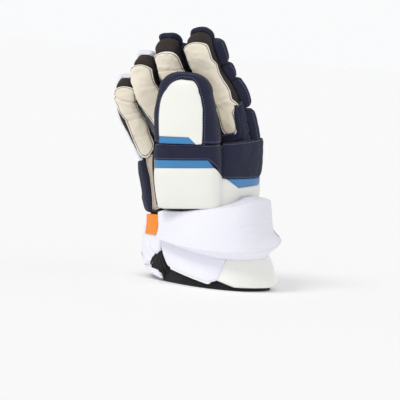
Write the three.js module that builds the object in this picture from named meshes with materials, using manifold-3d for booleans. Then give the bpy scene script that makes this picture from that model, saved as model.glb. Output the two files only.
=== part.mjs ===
// Ice hockey glove for the right hand, standing on the hem of its cuff with the fingers up.
// Units are millimetres. +Z runs from the hem to the fingertips. The thumb's shell faces -Y,
// the palm faces between -X and -Y, and the back of the hand faces between +X and +Y.
//
// Every piece lies on one of seven tubes: the hand, the web beside the thumb, the thumb and the four
// fingers. A tube is a table of sections. A place on it is given by a station (the row number, with
// fractions between rows), a turn round the section and a height above the tube. On the hand, turn 0
// is the thumb side, 0.25 the palm, 0.5 the little finger side and 0.75 the back.
import * as THREE from "three";
import Module from "manifold-3d";

const wasm = await Module();
wasm.setup();

// Driving dimensions
const LINER_WALL = 2.5;
const STALL_WALL = 2.2;
const GAP = 0.35;
const SIDE_GAP = 0.6;
const LEATHER = 2.2;
const DOME_ANGLE = (82 * Math.PI) / 180;
const HEM_LEVEL = 4;
const THUMB_LEVEL = 174;
const WRIST_LEVEL = 96;
const KNUCKLE_LEVEL = 136;
const BASE_CENTRE = [-8.18, -10.54];

// The hand and cuff, from below the hem to past the finger openings
const HAND = {
  level: true,
  rows: [
    { x: 25, y: 0, z: -20, width: 170, palm: 61, back: 61, turn: 45, square: 2.3 },
    { x: 18, y: 0, z: 12, width: 168, palm: 60, back: 60, turn: 45, square: 2.3 },
    { x: 11, y: 0, z: 42, width: 158, palm: 52, back: 54, turn: 43, square: 2.4 },
    { x: 5, y: 0, z: 76, width: 141, palm: 39, back: 43, turn: 38, square: 2.7 },
    { x: -1.5, y: 0, z: 108, width: 140, palm: 29, back: 31, turn: 33, square: 3.2 },
    { x: -8.5, y: 0, z: 142, width: 141, palm: 23, back: 25, turn: 28, square: 3.6 },
    { x: -12.5, y: -3, z: 172, width: 144, palm: 18, back: 19, turn: 24, square: 4 },
    { x: -21, y: -8, z: 205, width: 146, palm: 16, back: 17, turn: 22, square: 4 },
  ],
};

// The web that joins the thumb to the side of the hand, whose palm side faces out past the thumb
const WEB = {
  level: true,
  rows: [
    { x: 36, y: -24, z: 88, width: 70, palm: 16, back: 16, turn: 306, square: 3 },
    { x: 37, y: -26, z: 120, width: 78, palm: 16, back: 18, turn: 306, square: 3 },
    { x: 36, y: -27, z: 155, width: 82, palm: 16, back: 20, turn: 304, square: 3 },
    { x: 35, y: -27, z: 196, width: 84, palm: 16, back: 20, turn: 303, square: 3 },
  ],
};

// The thumb, whose palm side faces the hand and whose back carries the shell
const THUMB = {
  level: true,
  dome: 17,
  rows: [
    { x: -10, y: -44, z: 94, width: 66, palm: 26, back: 16, turn: 196, square: 3.4 },
    { x: -13, y: -50, z: 120, width: 70, palm: 34, back: 20, turn: 196, square: 3.6 },
    { x: -17, y: -58, z: 150, width: 71, palm: 32, back: 21, turn: 197, square: 3.6 },
    { x: -20, y: -65, z: 180, width: 66, palm: 21, back: 20, turn: 198, square: 3.4 },
    { x: -25, y: -71, z: 212, width: 63, palm: 18, back: 17, turn: 200, square: 3 },
    { x: -28, y: -75.1, z: 246, width: 54, palm: 15, back: 14, turn: 200, square: 2.8 },
  ],
};

// One row for each finger: where its tube starts, bends and ends, its section, its tip and its rolls
const FINGERS = [
  {
    name: "index", colour: "navy", width: 33, palm: 13, back: 14, turn: 27, dome: 12, roll: 14, leather: 3.38,
    path: [[38, -20, 180], [21, -29, 231], [-2, -40, 264], [-18, -54, 302]],
  },
  {
    name: "middle", colour: "navy", width: 33, palm: 13, back: 14, turn: 22, dome: 12, roll: 14, leather: 3.2,
    path: [[3, -6, 172], [-22, -14, 222], [-44, -26, 258], [-56, -41, 292]],
  },
  {
    name: "ring", colour: "white_mesh", width: 30, palm: 12, back: 13, turn: 18, dome: 11, roll: 13, leather: 3.36,
    path: [[-30, 6, 162], [-58, -3, 209], [-76, -14, 241], [-82, -27, 269]],
  },
  {
    name: "little", colour: "white_mesh", width: 26, palm: 11, back: 12, turn: 12, dome: 10, roll: 12, leather: 3.36,
    path: [[-62, 18, 150], [-81, 13, 180], [-99, 6, 211], [-104, -5, 239]],
  },
];

// Stations from and to of the back rolls of every finger with the height of their undersides, and
// stations of the cap over its tip
const FINGER_ROLLS = [[0, 0.72, 1.1], [0.78, 1.4, 1.0], [1.47, 2.1, 1.2], [2.17, 2.82, 1.35]];
const FINGER_CAP = [2.87, 3.8];

// The slanted plane of the finger openings, with the fingers above it and the hand below
const RIM = { point: [-9.5, -3, 172], normal: [-0.3, -0.12, 0.946] };

// The plane that lifts the hem on the little finger side of the cuff
const RAISED_HEM = { point: [-34, 0, 4], normal: [0.4, 0, 1] };

// The plane of the seam between the thumb's base and the side of the hand
const SEAM = { point: [23, 0, 164], normal: [1, 0, 0.061] };

// Padded pieces that lie on the tubes. Each has its tube, its levels from and to, its turns left and
// right, its height above the tube and the height of its edge. A list runs evenly from one side of
// the piece to the other: levels and heights along the turns, turns along the levels. round is the
// share of the top that is rounded off.
const PADS = [
  { name: "thumb_leather", tube: "thumb", from: 176, to: 250, left: 0.06, right: 0.44,
    high: 3.6, edge: 3.4, round: 0.2, colour: "cream", across: 6, along: 6 },
  { name: "thumb_shell", tube: "thumb", from: [184.5, 183.2, 181, 178.2, 176.6, 177], to: 263, left: 0.46,
    right: 1.04, low: 2, high: 8, edge: 4, round: 0.2, power: 7, colour: "navy", across: 12, along: 8 },
  { name: "thumb_shell_stripe", tube: "thumb", from: [180.5, 178.5], to: [186.6, 185], left: [0.69, 0.737],
    right: [0.875, 0.867], low: 8.8, high: 10.6, edge: 10, colour: "blue", across: 6, along: 2 },
  { name: "thumb_shell_panel", tube: "thumb", from: [182, 182, 187.8, 187.8, 187, 186.5], to: [258, 258, 256, 250],
    left: [0.638, 0.615, 0.61, 0.62], right: [0.873, 0.875, 0.88, 0.875], low: 8.8, high: 11, edge: 10,
    round: 0.2, colour: "white_vinyl", across: 8, along: 6 },
  { name: "thumb_base_band", tube: "thumb",
    from: [140, 142, 157, 161, 161, 160, 159, 158, 157], to: [183, 181.5, 178, 175, 173.5],
    left: 0.46, right: 1.0, high: 8, edge: 4.5, colour: "navy", across: 10, along: 3 },
  { name: "thumb_base_stripe", tube: "thumb", from: 150.5, to: [153, 159, 159.5, 158.5, 157.5, 156.5, 155.5],
    left: 0.625, right: 1.0, high: 7, edge: 4, colour: "blue", across: 8, along: 2 },
  { name: "thumb_base_panel", tube: "thumb", from: [109, 104, 100, 99, 98],
    to: [139, 141, 149, 149.5, 149.5, 149.5, 149.5, 149.5, 149.5], left: 0.46, right: 1.0,
    high: 8, edge: 4.5, colour: "white_vinyl", across: 10, along: 5 },
  { name: "side_panel", tube: "web", from: [147, 146, 140, 140, 140, 140], to: 184, left: -0.06,
    right: 0.46, low: 2, high: 8, edge: 4.5, colour: "navy", across: 8, along: 4 },
  { name: "side_stripe", tube: "web", from: [133, 130, 129], to: [145, 144, 139, 139, 139],
    left: -0.06, right: [0.28, 0.345], low: 2, high: 7, edge: 4, colour: "blue", across: 7, along: 2 },
  { name: "side_guard", tube: "web", from: 114.5, to: [132, 131, 128.5, 128, 128, 128.5, 138, 138.8],
    left: -0.06, right: 0.46, low: 2, high: 7, edge: 4, colour: "white_vinyl", across: 10, along: 3 },
  { name: "index_side_pad", tube: "index", from: [0.2, 0.24], to: [0.9, 1.1], left: -0.03,
    right: [0.115, 0.085], low: 0.4, high: 6, edge: 4, colour: "navy", across: 4, along: 3 },
  { name: "palm_leather", tube: "hand", from: [114, 107, 100, 91], to: [180, 172, 163, 152], left: 0.1,
    right: 0.395, high: 3.8, edge: 3.6, colour: "taupe", across: 7, along: 5 },
  { name: "heel_patch", tube: "hand", from: 85.5, to: 89.3, left: 0.346, right: 0.396,
    low: 0.5, high: 4.5, edge: 3.6, colour: "brown", across: 3, along: 2 },
  { name: "ulnar_panel", tube: "hand", from: 84, to: [150, 147, 147, 150], left: [0.405, 0.45],
    right: [0.53, 0.57], low: 2, high: 8, edge: 4.5, colour: "navy", across: 4, along: 5 },
  { name: "back_roll_1", tube: "hand", from: [128, 135], to: [153, 161, 170], left: 0.58, right: 0.735,
    high: 15, edge: 8, colour: "white_mesh", across: 5, along: 3 },
  { name: "back_roll_2", tube: "hand", from: [136, 142, 147], to: [172, 180, 186], left: 0.745, right: 0.92,
    high: 16, edge: 8, clear: 9, colour: "navy", across: 5, along: 3 },
  { name: "back_roll_3", tube: "hand", from: 116, to: [126, 132, 139, 145], left: 0.58, right: 0.92,
    high: 16, edge: 8, clear: 9, colour: "navy", across: 7, along: 3 },
  { name: "cuff_roll", tube: "hand",
    from: [58, 51, 46, 45.5, 46.3, 43.8, 43.4, 48.7, 55], to: [96, 104, 110, 112.5, 113.5, 113, 107, 99, 88],
    left: -0.455, right: [0.322, 0.332], high: [12, 20, 25, 27, 27, 23, 20, 16, 11],
    edge: [6, 12, 16, 17, 17, 10, 7, 6, 5], foot: [6, 8, 9, 9, 9, 8, 7, 6, 5],
    low: 2.9, colour: "white_mesh", across: 20, along: 5 },
  { name: "cuff_panel", tube: "hand", from: [12, 11, 15, 22], to: [40, 41, 43, 47, 52],
    left: [0.12, 0.1, 0.083], right: [0.245, 0.28, 0.305], low: 0.7, high: 7, edge: 4,
    colour: "white_mesh", across: 7, along: 4 },
  { name: "cuff_back_panel", tube: "hand", from: [16, 8, 6, 6, 6, 6, 5], to: [54, 48, 44, 42.5, 43, 42, 38],
    left: -0.46, right: [0.11, 0.09, 0.073], low: 2, high: [6, 10, 12, 12.6, 12.6, 12, 9], edge: 4.5,
    colour: "white_gloss", across: 13, along: 4 },
  { name: "cuff_flap", tube: "hand", from: [12, 14, 16, 18], to: [54, 56, 74, 80, 80], left: [0.335, 0.322, 0.312],
    right: 0.53, low: 2, high: 7, edge: 4.5, colour: "white_mesh", across: 6, along: 4 },
  { name: "label_tab", tube: "hand", from: 58, to: 84, left: [0.333, 0.345], right: [0.388, 0.402],
    low: 6.4, high: 8.4, edge: 8, colour: "orange", across: 3, along: 3 },
];

const COLOURS = {
  navy: [0x23273d, 0.85],
  brown: [0x2b2523, 0.8],
  cream: [0xe2d9c0, 0.75],
  taupe: [0xb4a68f, 0.8],
  white_vinyl: [0xededea, 0.35],
  white_gloss: [0xededea, 0.15],
  white_mesh: [0xe8e8f2, 0.85],
  blue: [0x3a8cc6, 0.35],
  black_mesh: [0x1c1c1e, 0.9],
  orange: [0xf59433, 0.7],
};

// A smooth value between the rows on both sides of a station
function smooth(values, station) {
  const i = Math.min(Math.max(Math.floor(station), 0), values.length - 2);
  const t = station - i;
  const at = (n) => values[Math.min(Math.max(n, 0), values.length - 1)];
  const [a, b, c, d] = [at(i - 1), at(i), at(i + 1), at(i + 2)];
  const slope = 2 * b + (c - a) * t;
  return 0.5 * (slope + (2 * a - 5 * b + 4 * c - d) * t * t + (3 * b - a - 3 * c + d) * t ** 3);
}

// A number, or a list that runs evenly from 0 to 1
function along(value, share) {
  return Array.isArray(value) ? smooth(value, share * (value.length - 1)) : value;
}

function centreAt(tube, station) {
  const [x, y, z] = ["x", "y", "z"].map((key) => smooth(tube.rows.map((row) => row[key]), station));
  return new THREE.Vector3(x, y, z);
}

// The station of a tube at a level
function stationAt(tube, level) {
  const last = tube.rows.length - 1;
  const over = level - tube.rows[last].z;
  if (over > 0 && tube.dome && tube.level) return last + Math.asin(Math.min(over / tube.dome, 1)) / DOME_ANGLE;
  let [low, high] = [0, last];
  for (let i = 0; i < 24; i++) {
    const middle = (low + high) / 2;
    if (centreAt(tube, middle).z < level) low = middle;
    else high = middle;
  }
  return low;
}

// The section of a tube at a station: its sizes and its three directions
function sectionAt(tube, station) {
  const section = { centre: centreAt(tube, station) };
  for (const key of ["width", "palm", "back", "turn", "square"]) {
    section[key] = smooth(tube.rows.map((row) => row[key]), station);
  }
  const step = 0.02;
  const ahead = centreAt(tube, station + step).sub(centreAt(tube, station - step)).normalize();
  if (tube.level) ahead.set(0, 0, 1);
  const turn = THREE.MathUtils.degToRad(section.turn);
  const palmWay = new THREE.Vector3(-Math.sin(turn), -Math.cos(turn), 0);
  palmWay.addScaledVector(ahead, -palmWay.dot(ahead)).normalize();
  const thumbWay = new THREE.Vector3().crossVectors(ahead, palmWay).normalize();
  return { ...section, ahead, palmWay, thumbWay };
}

const bend = (value, section) => Math.sign(value) * Math.abs(value) ** (2 / section.square);

// The angle on a quarter of a section at a share of the quarter's length from its wide end
function quarterAngle(section, depth, share) {
  const count = 24;
  const angles = [0];
  const lengths = [0];
  let previous = [section.width / 2, 0];
  for (let k = 1; k <= count; k++) {
    const t = k / count;
    const angle = (Math.PI / 2) * (3 * t * t - 2 * t * t * t);
    const point = [bend(Math.cos(angle), section) * (section.width / 2), bend(Math.sin(angle), section) * depth];
    lengths.push(lengths[k - 1] + Math.hypot(point[0] - previous[0], point[1] - previous[1]));
    angles.push(angle);
    previous = point;
  }
  const wanted = share * lengths[count];
  let k = 1;
  while (k < count && lengths[k] < wanted) k++;
  const t = (wanted - lengths[k - 1]) / (lengths[k] - lengths[k - 1]);
  return angles[k - 1] + (angles[k] - angles[k - 1]) * t;
}

function turnAngle(section, turn) {
  const wrapped = turn - Math.floor(turn);
  const quarter = Math.min(Math.floor(wrapped * 4), 3);
  const share = wrapped * 4 - quarter;
  const depth = quarter < 2 ? section.palm : section.back;
  const rising = quarter % 2 === 0;
  const angle = quarterAngle(section, depth, rising ? share : 1 - share);
  return rising ? quarter * (Math.PI / 2) + angle : (quarter + 1) * (Math.PI / 2) - angle;
}

// A point of a tube. Past the last row, the stations run over the dome that closes the tip.
function tubePoint(tube, station, turn, height) {
  const last = tube.rows.length - 1;
  const domed = tube.dome && station > last;
  const section = sectionAt(tube, domed ? last : station);
  const tilt = domed ? Math.min(station - last, 1) * DOME_ANGLE : 0;
  const angle = turnAngle(section, turn);
  const depth = Math.sin(angle) > 0 ? section.palm : section.back;
  const across = bend(Math.cos(angle), section) * (section.width / 2 + height) * Math.cos(tilt);
  const through = bend(Math.sin(angle), section) * (depth + height) * Math.cos(tilt);
  const rise = domed ? (tube.dome + height) * Math.sin(tilt) : 0;
  return section.centre
    .clone()
    .addScaledVector(section.thumbWay, across)
    .addScaledVector(section.palmWay, through)
    .addScaledVector(section.ahead, rise);
}

function solidFrom(points, triangles) {
  return new wasm.Manifold(
    new wasm.Mesh({
      numProp: 3,
      vertProperties: new Float32Array(points.flatMap((p) => [p.x, p.y, p.z])),
      triVerts: new Uint32Array(triangles),
    }),
  );
}

// A closed length of tube through the stations, with flat ends
function bulk(tube, stations, height, rounds) {
  const points = [];
  const triangles = [];
  const steps = stations.length - 1;
  for (const station of stations) {
    for (let j = 0; j < rounds; j++) points.push(tubePoint(tube, station, j / rounds, height));
  }
  for (let i = 0; i < steps; i++) {
    for (let j = 0; j < rounds; j++) {
      const a = i * rounds + j;
      const b = i * rounds + ((j + 1) % rounds);
      triangles.push(a, a + rounds, b, b, a + rounds, b + rounds);
    }
  }
  for (const [ring, isTop] of [[0, false], [steps, true]]) {
    const start = ring * rounds;
    const middle = new THREE.Vector3();
    for (let j = 0; j < rounds; j++) middle.addScaledVector(points[start + j], 1 / rounds);
    const hub = points.push(middle) - 1;
    for (let j = 0; j < rounds; j++) {
      const a = start + j;
      const b = start + ((j + 1) % rounds);
      triangles.push(...(isTop ? [hub, b, a] : [hub, a, b]));
    }
  }
  return solidFrom(points, triangles);
}

const spaced = (t) => t - 0.09 * Math.sin(2 * Math.PI * t);
const pillow = (t, power) => Math.max(0, 1 - Math.abs(2 * t - 1) ** power) ** (1 / power);

// How much of its width a piece keeps near its rounded top
function topWidth(v, round) {
  if (!round || v <= 1 - round) return 1;
  const run = (v - 1 + round) / round;
  return Math.max(0.4, Math.sqrt(Math.max(0, 1 - run * run)));
}

// A padded piece that lies on a tube. settle moves its points away from its neighbours.
function pad(tube, shape, settle = (point) => point) {
  const { from, to, left, right, low = 1.4, high, edge, foot = edge, power = 3, round = 0 } = shape;
  const { across, along: rows } = shape;
  const points = [];
  const triangles = [];
  const index = (layer, i, j) => (layer * (rows + 1) + i) * (across + 1) + j;
  for (const layer of [0, 1]) {
    for (let i = 0; i <= rows; i++) {
      const v = spaced(i / rows);
      for (let j = 0; j <= across; j++) {
        const u = spaced(j / across);
        const [leftTurn, rightTurn] = [along(left, v), along(right, v)];
        const middle = (leftTurn + rightTurn) / 2;
        const turn = middle + (u - 0.5) * (rightTurn - leftTurn) * topWidth(v, round);
        const [start, end] = [along(from, u), along(to, u)];
        const place = start + (end - start) * v;
        const station = tube.level ? stationAt(tube, place) : place;
        const rim = along(foot, u) + (along(edge, u) - along(foot, u)) * v;
        const swell = (along(high, u) - rim) * pillow(u, power) * pillow(v, power);
        points.push(settle(tubePoint(tube, station, turn, layer ? rim + swell : low)));
      }
    }
  }
  const quad = (a, b, c, d) => triangles.push(a, b, c, a, c, d);
  for (let i = 0; i < rows; i++) {
    for (let j = 0; j < across; j++) {
      quad(index(1, i, j), index(1, i + 1, j), index(1, i + 1, j + 1), index(1, i, j + 1));
      quad(index(0, i, j), index(0, i, j + 1), index(0, i + 1, j + 1), index(0, i + 1, j));
    }
    quad(index(0, i, 0), index(0, i + 1, 0), index(1, i + 1, 0), index(1, i, 0));
    quad(index(0, i + 1, across), index(0, i, across), index(1, i, across), index(1, i + 1, across));
  }
  for (let j = 0; j < across; j++) {
    quad(index(0, 0, j + 1), index(0, 0, j), index(1, 0, j), index(1, 0, j + 1));
    quad(index(0, rows, j), index(0, rows, j + 1), index(1, rows, j + 1), index(1, rows, j));
  }
  return solidFrom(points, triangles);
}

const glove = new THREE.Group();

function addPiece(name, solid, colour) {
  const largest = solid.decompose().sort((a, b) => b.volume() - a.volume())[0];
  const mesh = largest.getMesh();
  const geometry = new THREE.BufferGeometry();
  geometry.setAttribute("position", new THREE.BufferAttribute(new Float32Array(mesh.vertProperties), 3));
  geometry.setIndex(new THREE.BufferAttribute(new Uint32Array(mesh.triVerts), 1));
  geometry.translate(-BASE_CENTRE[0], -BASE_CENTRE[1], -HEM_LEVEL);
  geometry.computeVertexNormals();
  const [hex, roughness] = COLOURS[colour];
  const piece = new THREE.Mesh(geometry, new THREE.MeshStandardMaterial({ color: hex, roughness }));
  piece.name = name;
  glove.add(piece);
}

// The tube of a finger, wider where it leaves the hand and tapered at its tip
function fingerTube({ path, width, palm, back, turn, dome }) {
  const rows = path.map(([x, y, z], i) => {
    const depth = [1.15, 1, 1, 0.92][i];
    const taper = [1, 1, 0.97, 0.88][i];
    return { x, y, z, width: width * taper, palm: palm * depth, back: back * depth, turn, square: 3 };
  });
  return { rows, dome };
}

const FINGER_TUBES = FINGERS.map(fingerTube);

// Keeps a point of a finger on its own side of the surface between it and each neighbour
function keepSide(finger) {
  return (point) => {
    for (const other of [finger - 1, finger + 1]) {
      if (!FINGER_TUBES[other]) continue;
      const mine = centreAt(FINGER_TUBES[finger], stationAt(FINGER_TUBES[finger], point.z));
      const theirs = centreAt(FINGER_TUBES[other], stationAt(FINGER_TUBES[other], point.z));
      const away = mine.clone().sub(theirs).setZ(0).normalize();
      const share = FINGERS[finger].width / (FINGERS[finger].width + FINGERS[other].width);
      const clear = point.clone().sub(mine.lerp(theirs, share)).dot(away);
      if (clear < SIDE_GAP) point.addScaledVector(away, SIDE_GAP - clear);
    }
    return point;
  };
}

const rimNormal = new THREE.Vector3(...RIM.normal).normalize();
const rimLevel = rimNormal.dot(new THREE.Vector3(...RIM.point));
const above = (solid, gap) => solid.trimByPlane(rimNormal.toArray(), rimLevel + gap);
const below = (solid, gap) => solid.trimByPlane(rimNormal.clone().negate().toArray(), gap - rimLevel);

const handCore = (height) => bulk(HAND, [0, 1, 1.5, 2, 2.5, 3, 3.5, 4, 4.5, 5, 5.5, 6, 7], height, 24);
const webCore = (height) => bulk(WEB, [0, 1, 2, 3], height, 14);
const thumbCore = (height) => bulk(THUMB, [0, 0.5, 1, 1.5, 2, 2.5, 3, 3.5, 4, 4.5, 5, 5.4, 5.7, 6], height, 16);
const fingerCore = (finger, height) => bulk(FINGER_TUBES[finger], [0, 1, 2, 3, 3.4, 3.7, 4], height, 14);

function buildLiner() {
  const thumbRoot = (height) => thumbCore(height).trimByPlane([0, 0, -1], -THUMB_LEVEL);
  const outer = below(handCore(0).add(webCore(0)), 0).add(thumbRoot(0));
  const inner = below(handCore(-LINER_WALL).add(webCore(-LINER_WALL)), LINER_WALL).add(thumbRoot(-LINER_WALL));
  const hem = new THREE.Vector3(...RAISED_HEM.normal).normalize();
  let liner = outer.subtract(inner).trimByPlane([0, 0, 1], HEM_LEVEL);
  liner = liner.trimByPlane(hem.toArray(), hem.dot(new THREE.Vector3(...RAISED_HEM.point)));
  FINGERS.forEach((finger, i) => {
    liner = liner.subtract(above(fingerCore(i, -STALL_WALL), -2 * LINER_WALL));
  });
  const between = (low, high) => liner.trimByPlane([0, 0, 1], low).trimByPlane([0, 0, -1], -high);
  addPiece("cuff_liner", between(HEM_LEVEL, WRIST_LEVEL - GAP / 2), "black_mesh");
  addPiece("liner", between(WRIST_LEVEL + GAP / 2, KNUCKLE_LEVEL - GAP / 2), "black_mesh");
  addPiece("knuckle_liner", liner.trimByPlane([0, 0, 1], KNUCKLE_LEVEL + GAP / 2), "black_mesh");
  const stall = thumbCore(0).subtract(thumbCore(-LINER_WALL)).trimByPlane([0, 0, 1], THUMB_LEVEL + GAP);
  addPiece("thumb_stall", stall.subtract(outer), "brown");
}

function buildFingers() {
  FINGERS.forEach(({ name, colour, roll, leather: end }, i) => {
    const tube = FINGER_TUBES[i];
    const settle = keepSide(i);
    const stall = above(fingerCore(i, 0).subtract(fingerCore(i, -STALL_WALL)), GAP);
    addPiece(`${name}_stall`, stall, "brown");
    const leather = pad(tube, {
      from: 0.22, to: end, left: [0.13, 0.09, 0.07, 0.07], right: 0.42, high: 1.5 + LEATHER,
      edge: 1.5 + LEATHER, round: 0.14, low: 1.5, across: 5, along: 8,
    }, settle);
    addPiece(`${name}_leather`, above(leather, GAP), "cream");
    FINGER_ROLLS.forEach(([from, to, low], number) => {
      const shape = { from, to, left: 0.54, right: 0.96, low, high: roll, edge: 8, across: 6, along: 3 };
      const rollPad = pad(tube, shape, settle);
      addPiece(`${name}_roll_${number + 1}`, above(rollPad, GAP), colour);
    });
    const cap = pad(tube, {
      from: FINGER_CAP[0], to: FINGER_CAP[1], left: 0.58, right: 0.92, low: 0.85, high: 8, edge: 4,
      round: 0.3, across: 6, along: 4,
    }, settle);
    addPiece(`${name}_cap`, cap, colour);
  });
}

// A tube's length with clearance on its outside and under its lower end
function clearance(core) {
  return core.add(core.translate([0, 0, -GAP]));
}

function buildPads() {
  const tubes = { hand: HAND, web: WEB, thumb: THUMB, index: FINGER_TUBES[0] };
  const seam = new THREE.Vector3(...SEAM.normal).normalize();
  const seamLevel = seam.dot(new THREE.Vector3(...SEAM.point));
  for (const shape of PADS) {
    let piece = pad(tubes[shape.tube], shape);
    if (shape.tube === "hand") {
      piece = piece.subtract(clearance(webCore(shape.clear ?? GAP))).subtract(clearance(thumbCore(GAP)));
    }
    if (shape.tube === "web") piece = piece.subtract(handCore(GAP)).trimByPlane(seam.toArray(), seamLevel + GAP);
    if (shape.name.startsWith("thumb_base")) {
      piece = piece.subtract(webCore(GAP)).trimByPlane(seam.clone().negate().toArray(), GAP - seamLevel);
    }
    addPiece(shape.name, piece, shape.colour);
  }
}

buildLiner();
buildFingers();
buildPads();

export default glove;
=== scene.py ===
"""Looks of a padded ice hockey glove for the right hand.

Tables are in millimetres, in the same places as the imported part's own tables: every piece lies on a
tube and is placed by a station or level, a turn round the section and a height above the tube. The
pieces are made as fine grids and come out in metres, in the part's own frame.
"""

import math

import bmesh
import bpy
import numpy as np
from mathutils import Matrix, Vector


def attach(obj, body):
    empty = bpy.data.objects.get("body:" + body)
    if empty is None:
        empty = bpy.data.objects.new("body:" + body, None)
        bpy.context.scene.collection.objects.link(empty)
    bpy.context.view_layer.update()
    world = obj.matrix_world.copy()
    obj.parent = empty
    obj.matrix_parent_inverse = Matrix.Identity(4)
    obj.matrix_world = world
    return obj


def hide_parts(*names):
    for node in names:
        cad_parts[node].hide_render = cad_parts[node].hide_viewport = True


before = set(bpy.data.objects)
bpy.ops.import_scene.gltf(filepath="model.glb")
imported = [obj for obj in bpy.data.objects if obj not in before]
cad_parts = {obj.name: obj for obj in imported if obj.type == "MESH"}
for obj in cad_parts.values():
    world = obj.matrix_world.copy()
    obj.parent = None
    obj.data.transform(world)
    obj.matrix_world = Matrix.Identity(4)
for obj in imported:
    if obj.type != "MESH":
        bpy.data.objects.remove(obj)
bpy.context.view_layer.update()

BASE_CENTRE = np.array([-8.18, -10.54])
HEM_LEVEL = 4.0
LINER_WALL = 2.5
STALL_WALL = 2.2
GAP = 0.35
SIDE_GAP = 0.6
THUMB_LEVEL = 174.0
DOME_ANGLE = math.radians(82)

# Sides round each closed tube, by what it is for
TUBE_SIDES = 96
HAND_SIDES = 144
LINER_SIDES = 160
FINGER_HOLE_SIDES = 48
STALL_SIDES = 72
STALL_STEPS = 130

COLUMNS = ("x", "y", "z", "width", "palm", "back", "turn", "square")

# Millimetres in one unit of a surface map, and a distance that counts as far from any rim
MAP_UNIT = 100.0
FAR_FROM_RIM = 20.0

# The picture: its width at the target, the distance to it and the angles of the view
PICTURE_WIDTH = 0.5
CAMERA_DISTANCE = 3.0
SENSOR_WIDTH = 36
CAMERA_ROLL = math.radians(5)
CAMERA_RISE = math.radians(4)
TARGET_HEIGHT = 0.102

# The floor is a disc of rings, in metres, just under the part
FLOOR_RINGS = (0.5, 2.0, 8.0, 30.0)
FLOOR_SIDES = 96
FLOOR_LEVEL = -0.0003


def unit(v):
    return v / np.linalg.norm(v, axis=-1, keepdims=True)


def tube(rows, level=False, dome=0.0):
    """A tube from rows of sections, with one array for each column."""
    table = {name: np.array([row[i] for row in rows], float) for i, name in enumerate(COLUMNS)}
    return {**table, "level": level, "dome": dome, "last": len(rows) - 1}


HAND = tube(
    [
        (25, 0, -20, 170, 61, 61, 45, 2.3),
        (18, 0, 12, 168, 60, 60, 45, 2.3),
        (11, 0, 42, 158, 52, 54, 43, 2.4),
        (5, 0, 76, 141, 39, 43, 38, 2.7),
        (-1.5, 0, 108, 140, 29, 31, 33, 3.2),
        (-8.5, 0, 142, 141, 23, 25, 28, 3.6),
        (-12.5, -3, 172, 144, 18, 19, 24, 4),
        (-21, -8, 205, 146, 16, 17, 22, 4),
    ],
    level=True,
)
WEB = tube(
    [
        (36, -24, 88, 70, 16, 16, 306, 3),
        (37, -26, 120, 78, 16, 18, 306, 3),
        (36, -27, 155, 82, 16, 20, 304, 3),
        (35, -27, 196, 84, 16, 20, 303, 3),
    ],
    level=True,
)
THUMB = tube(
    [
        (-10, -44, 94, 66, 26, 16, 196, 3.4),
        (-13, -50, 120, 70, 34, 20, 196, 3.6),
        (-17, -58, 150, 71, 32, 21, 197, 3.6),
        (-20, -65, 180, 66, 21, 20, 198, 3.4),
        (-25, -71, 212, 63, 18, 17, 200, 3),
        (-28, -75.1, 242.5, 50.5, 15, 14, 200, 2.7),
    ],
    level=True,
    dome=17.0,
)

# Name, fabric, width, palm depth, back depth, turn, dome, height of the rolls, leather's end, path
FINGERS = [
    ("index", "navy", 33, 13, 14, 27, 12, 14, 3.38, [(38, -20, 180), (21, -29, 231), (-2, -40, 264), (-18,
     -54, 302)]),
    ("middle", "navy", 33, 13, 14, 22, 12, 14, 3.2, [(3, -6, 172), (-22, -14, 222), (-44, -26, 258), (-56,
     -41, 292)]),
    ("ring", "white_mesh", 30, 12, 13, 18, 11, 13, 3.36, [(-30, 6, 162), (-58, -3, 209), (-76, -14, 241),
     (-82, -27, 269)]),
    ("little", "white_mesh", 26, 11, 12, 12, 10, 12, 3.36, [(-62, 18, 150), (-81, 13, 180), (-99, 6, 211),
     (-104, -5, 239)]),
]
FINGER_ROLLS = [(0, 0.72, 1.1), (0.78, 1.4, 1.0), (1.47, 2.1, 1.2), (2.17, 2.82, 1.35)]
FINGER_CAP = (2.87, 3.8)
RIM_POINT = np.array([-9.5, -3.0, 172.0])
RIM_NORMAL = unit(np.array([-0.3, -0.12, 0.946]))
RAISED_HEM_POINT = np.array([-34.0, 0.0, 4.0])
RAISED_HEM_NORMAL = unit(np.array([0.4, 0.0, 1.0]))
SEAM_POINT = np.array([23.0, 0.0, 164.0])
SEAM_NORMAL = unit(np.array([1.0, 0.0, 0.061]))



def smooth(values, station):
    """A smooth value between the rows on both sides of a station."""
    values = np.asarray(values, float)
    station = np.asarray(station, float)
    i = np.clip(np.floor(station), 0, len(values) - 2).astype(int)
    t = station - i
    a, b, c, d = (values[np.clip(i + n, 0, len(values) - 1)] for n in (-1, 0, 1, 2))
    slope = 2 * b + (c - a) * t
    return 0.5 * (slope + (2 * a - 5 * b + 4 * c - d) * t**2 + (3 * b - a - 3 * c + d) * t**3)


def spread(value, share):
    """A number, a list that runs evenly from 0 to 1, or pairs of share and value with straight runs."""
    if isinstance(value, tuple):
        places, values = zip(*value)
        return np.interp(share, places, values)
    if isinstance(value, list):
        return smooth(value, np.asarray(share) * (len(value) - 1))
    return np.full(np.shape(share), float(value))


def centres(table, station):
    return np.stack([smooth(table[k], station) for k in ("x", "y", "z")], -1)


def station_at(table, level):
    """The station of a tube at a level."""
    stations = np.linspace(0, table["last"], 600)
    found = np.interp(level, smooth(table["z"], stations), stations)
    over = (np.asarray(level, float) - table["z"][-1]) / max(table["dome"], 1e-6)
    if table["dome"] and table["level"]:
        domed = table["last"] + np.arcsin(np.clip(over, 0, 1)) / DOME_ANGLE
        found = np.where(over > 0, domed, found)
    return found


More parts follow.
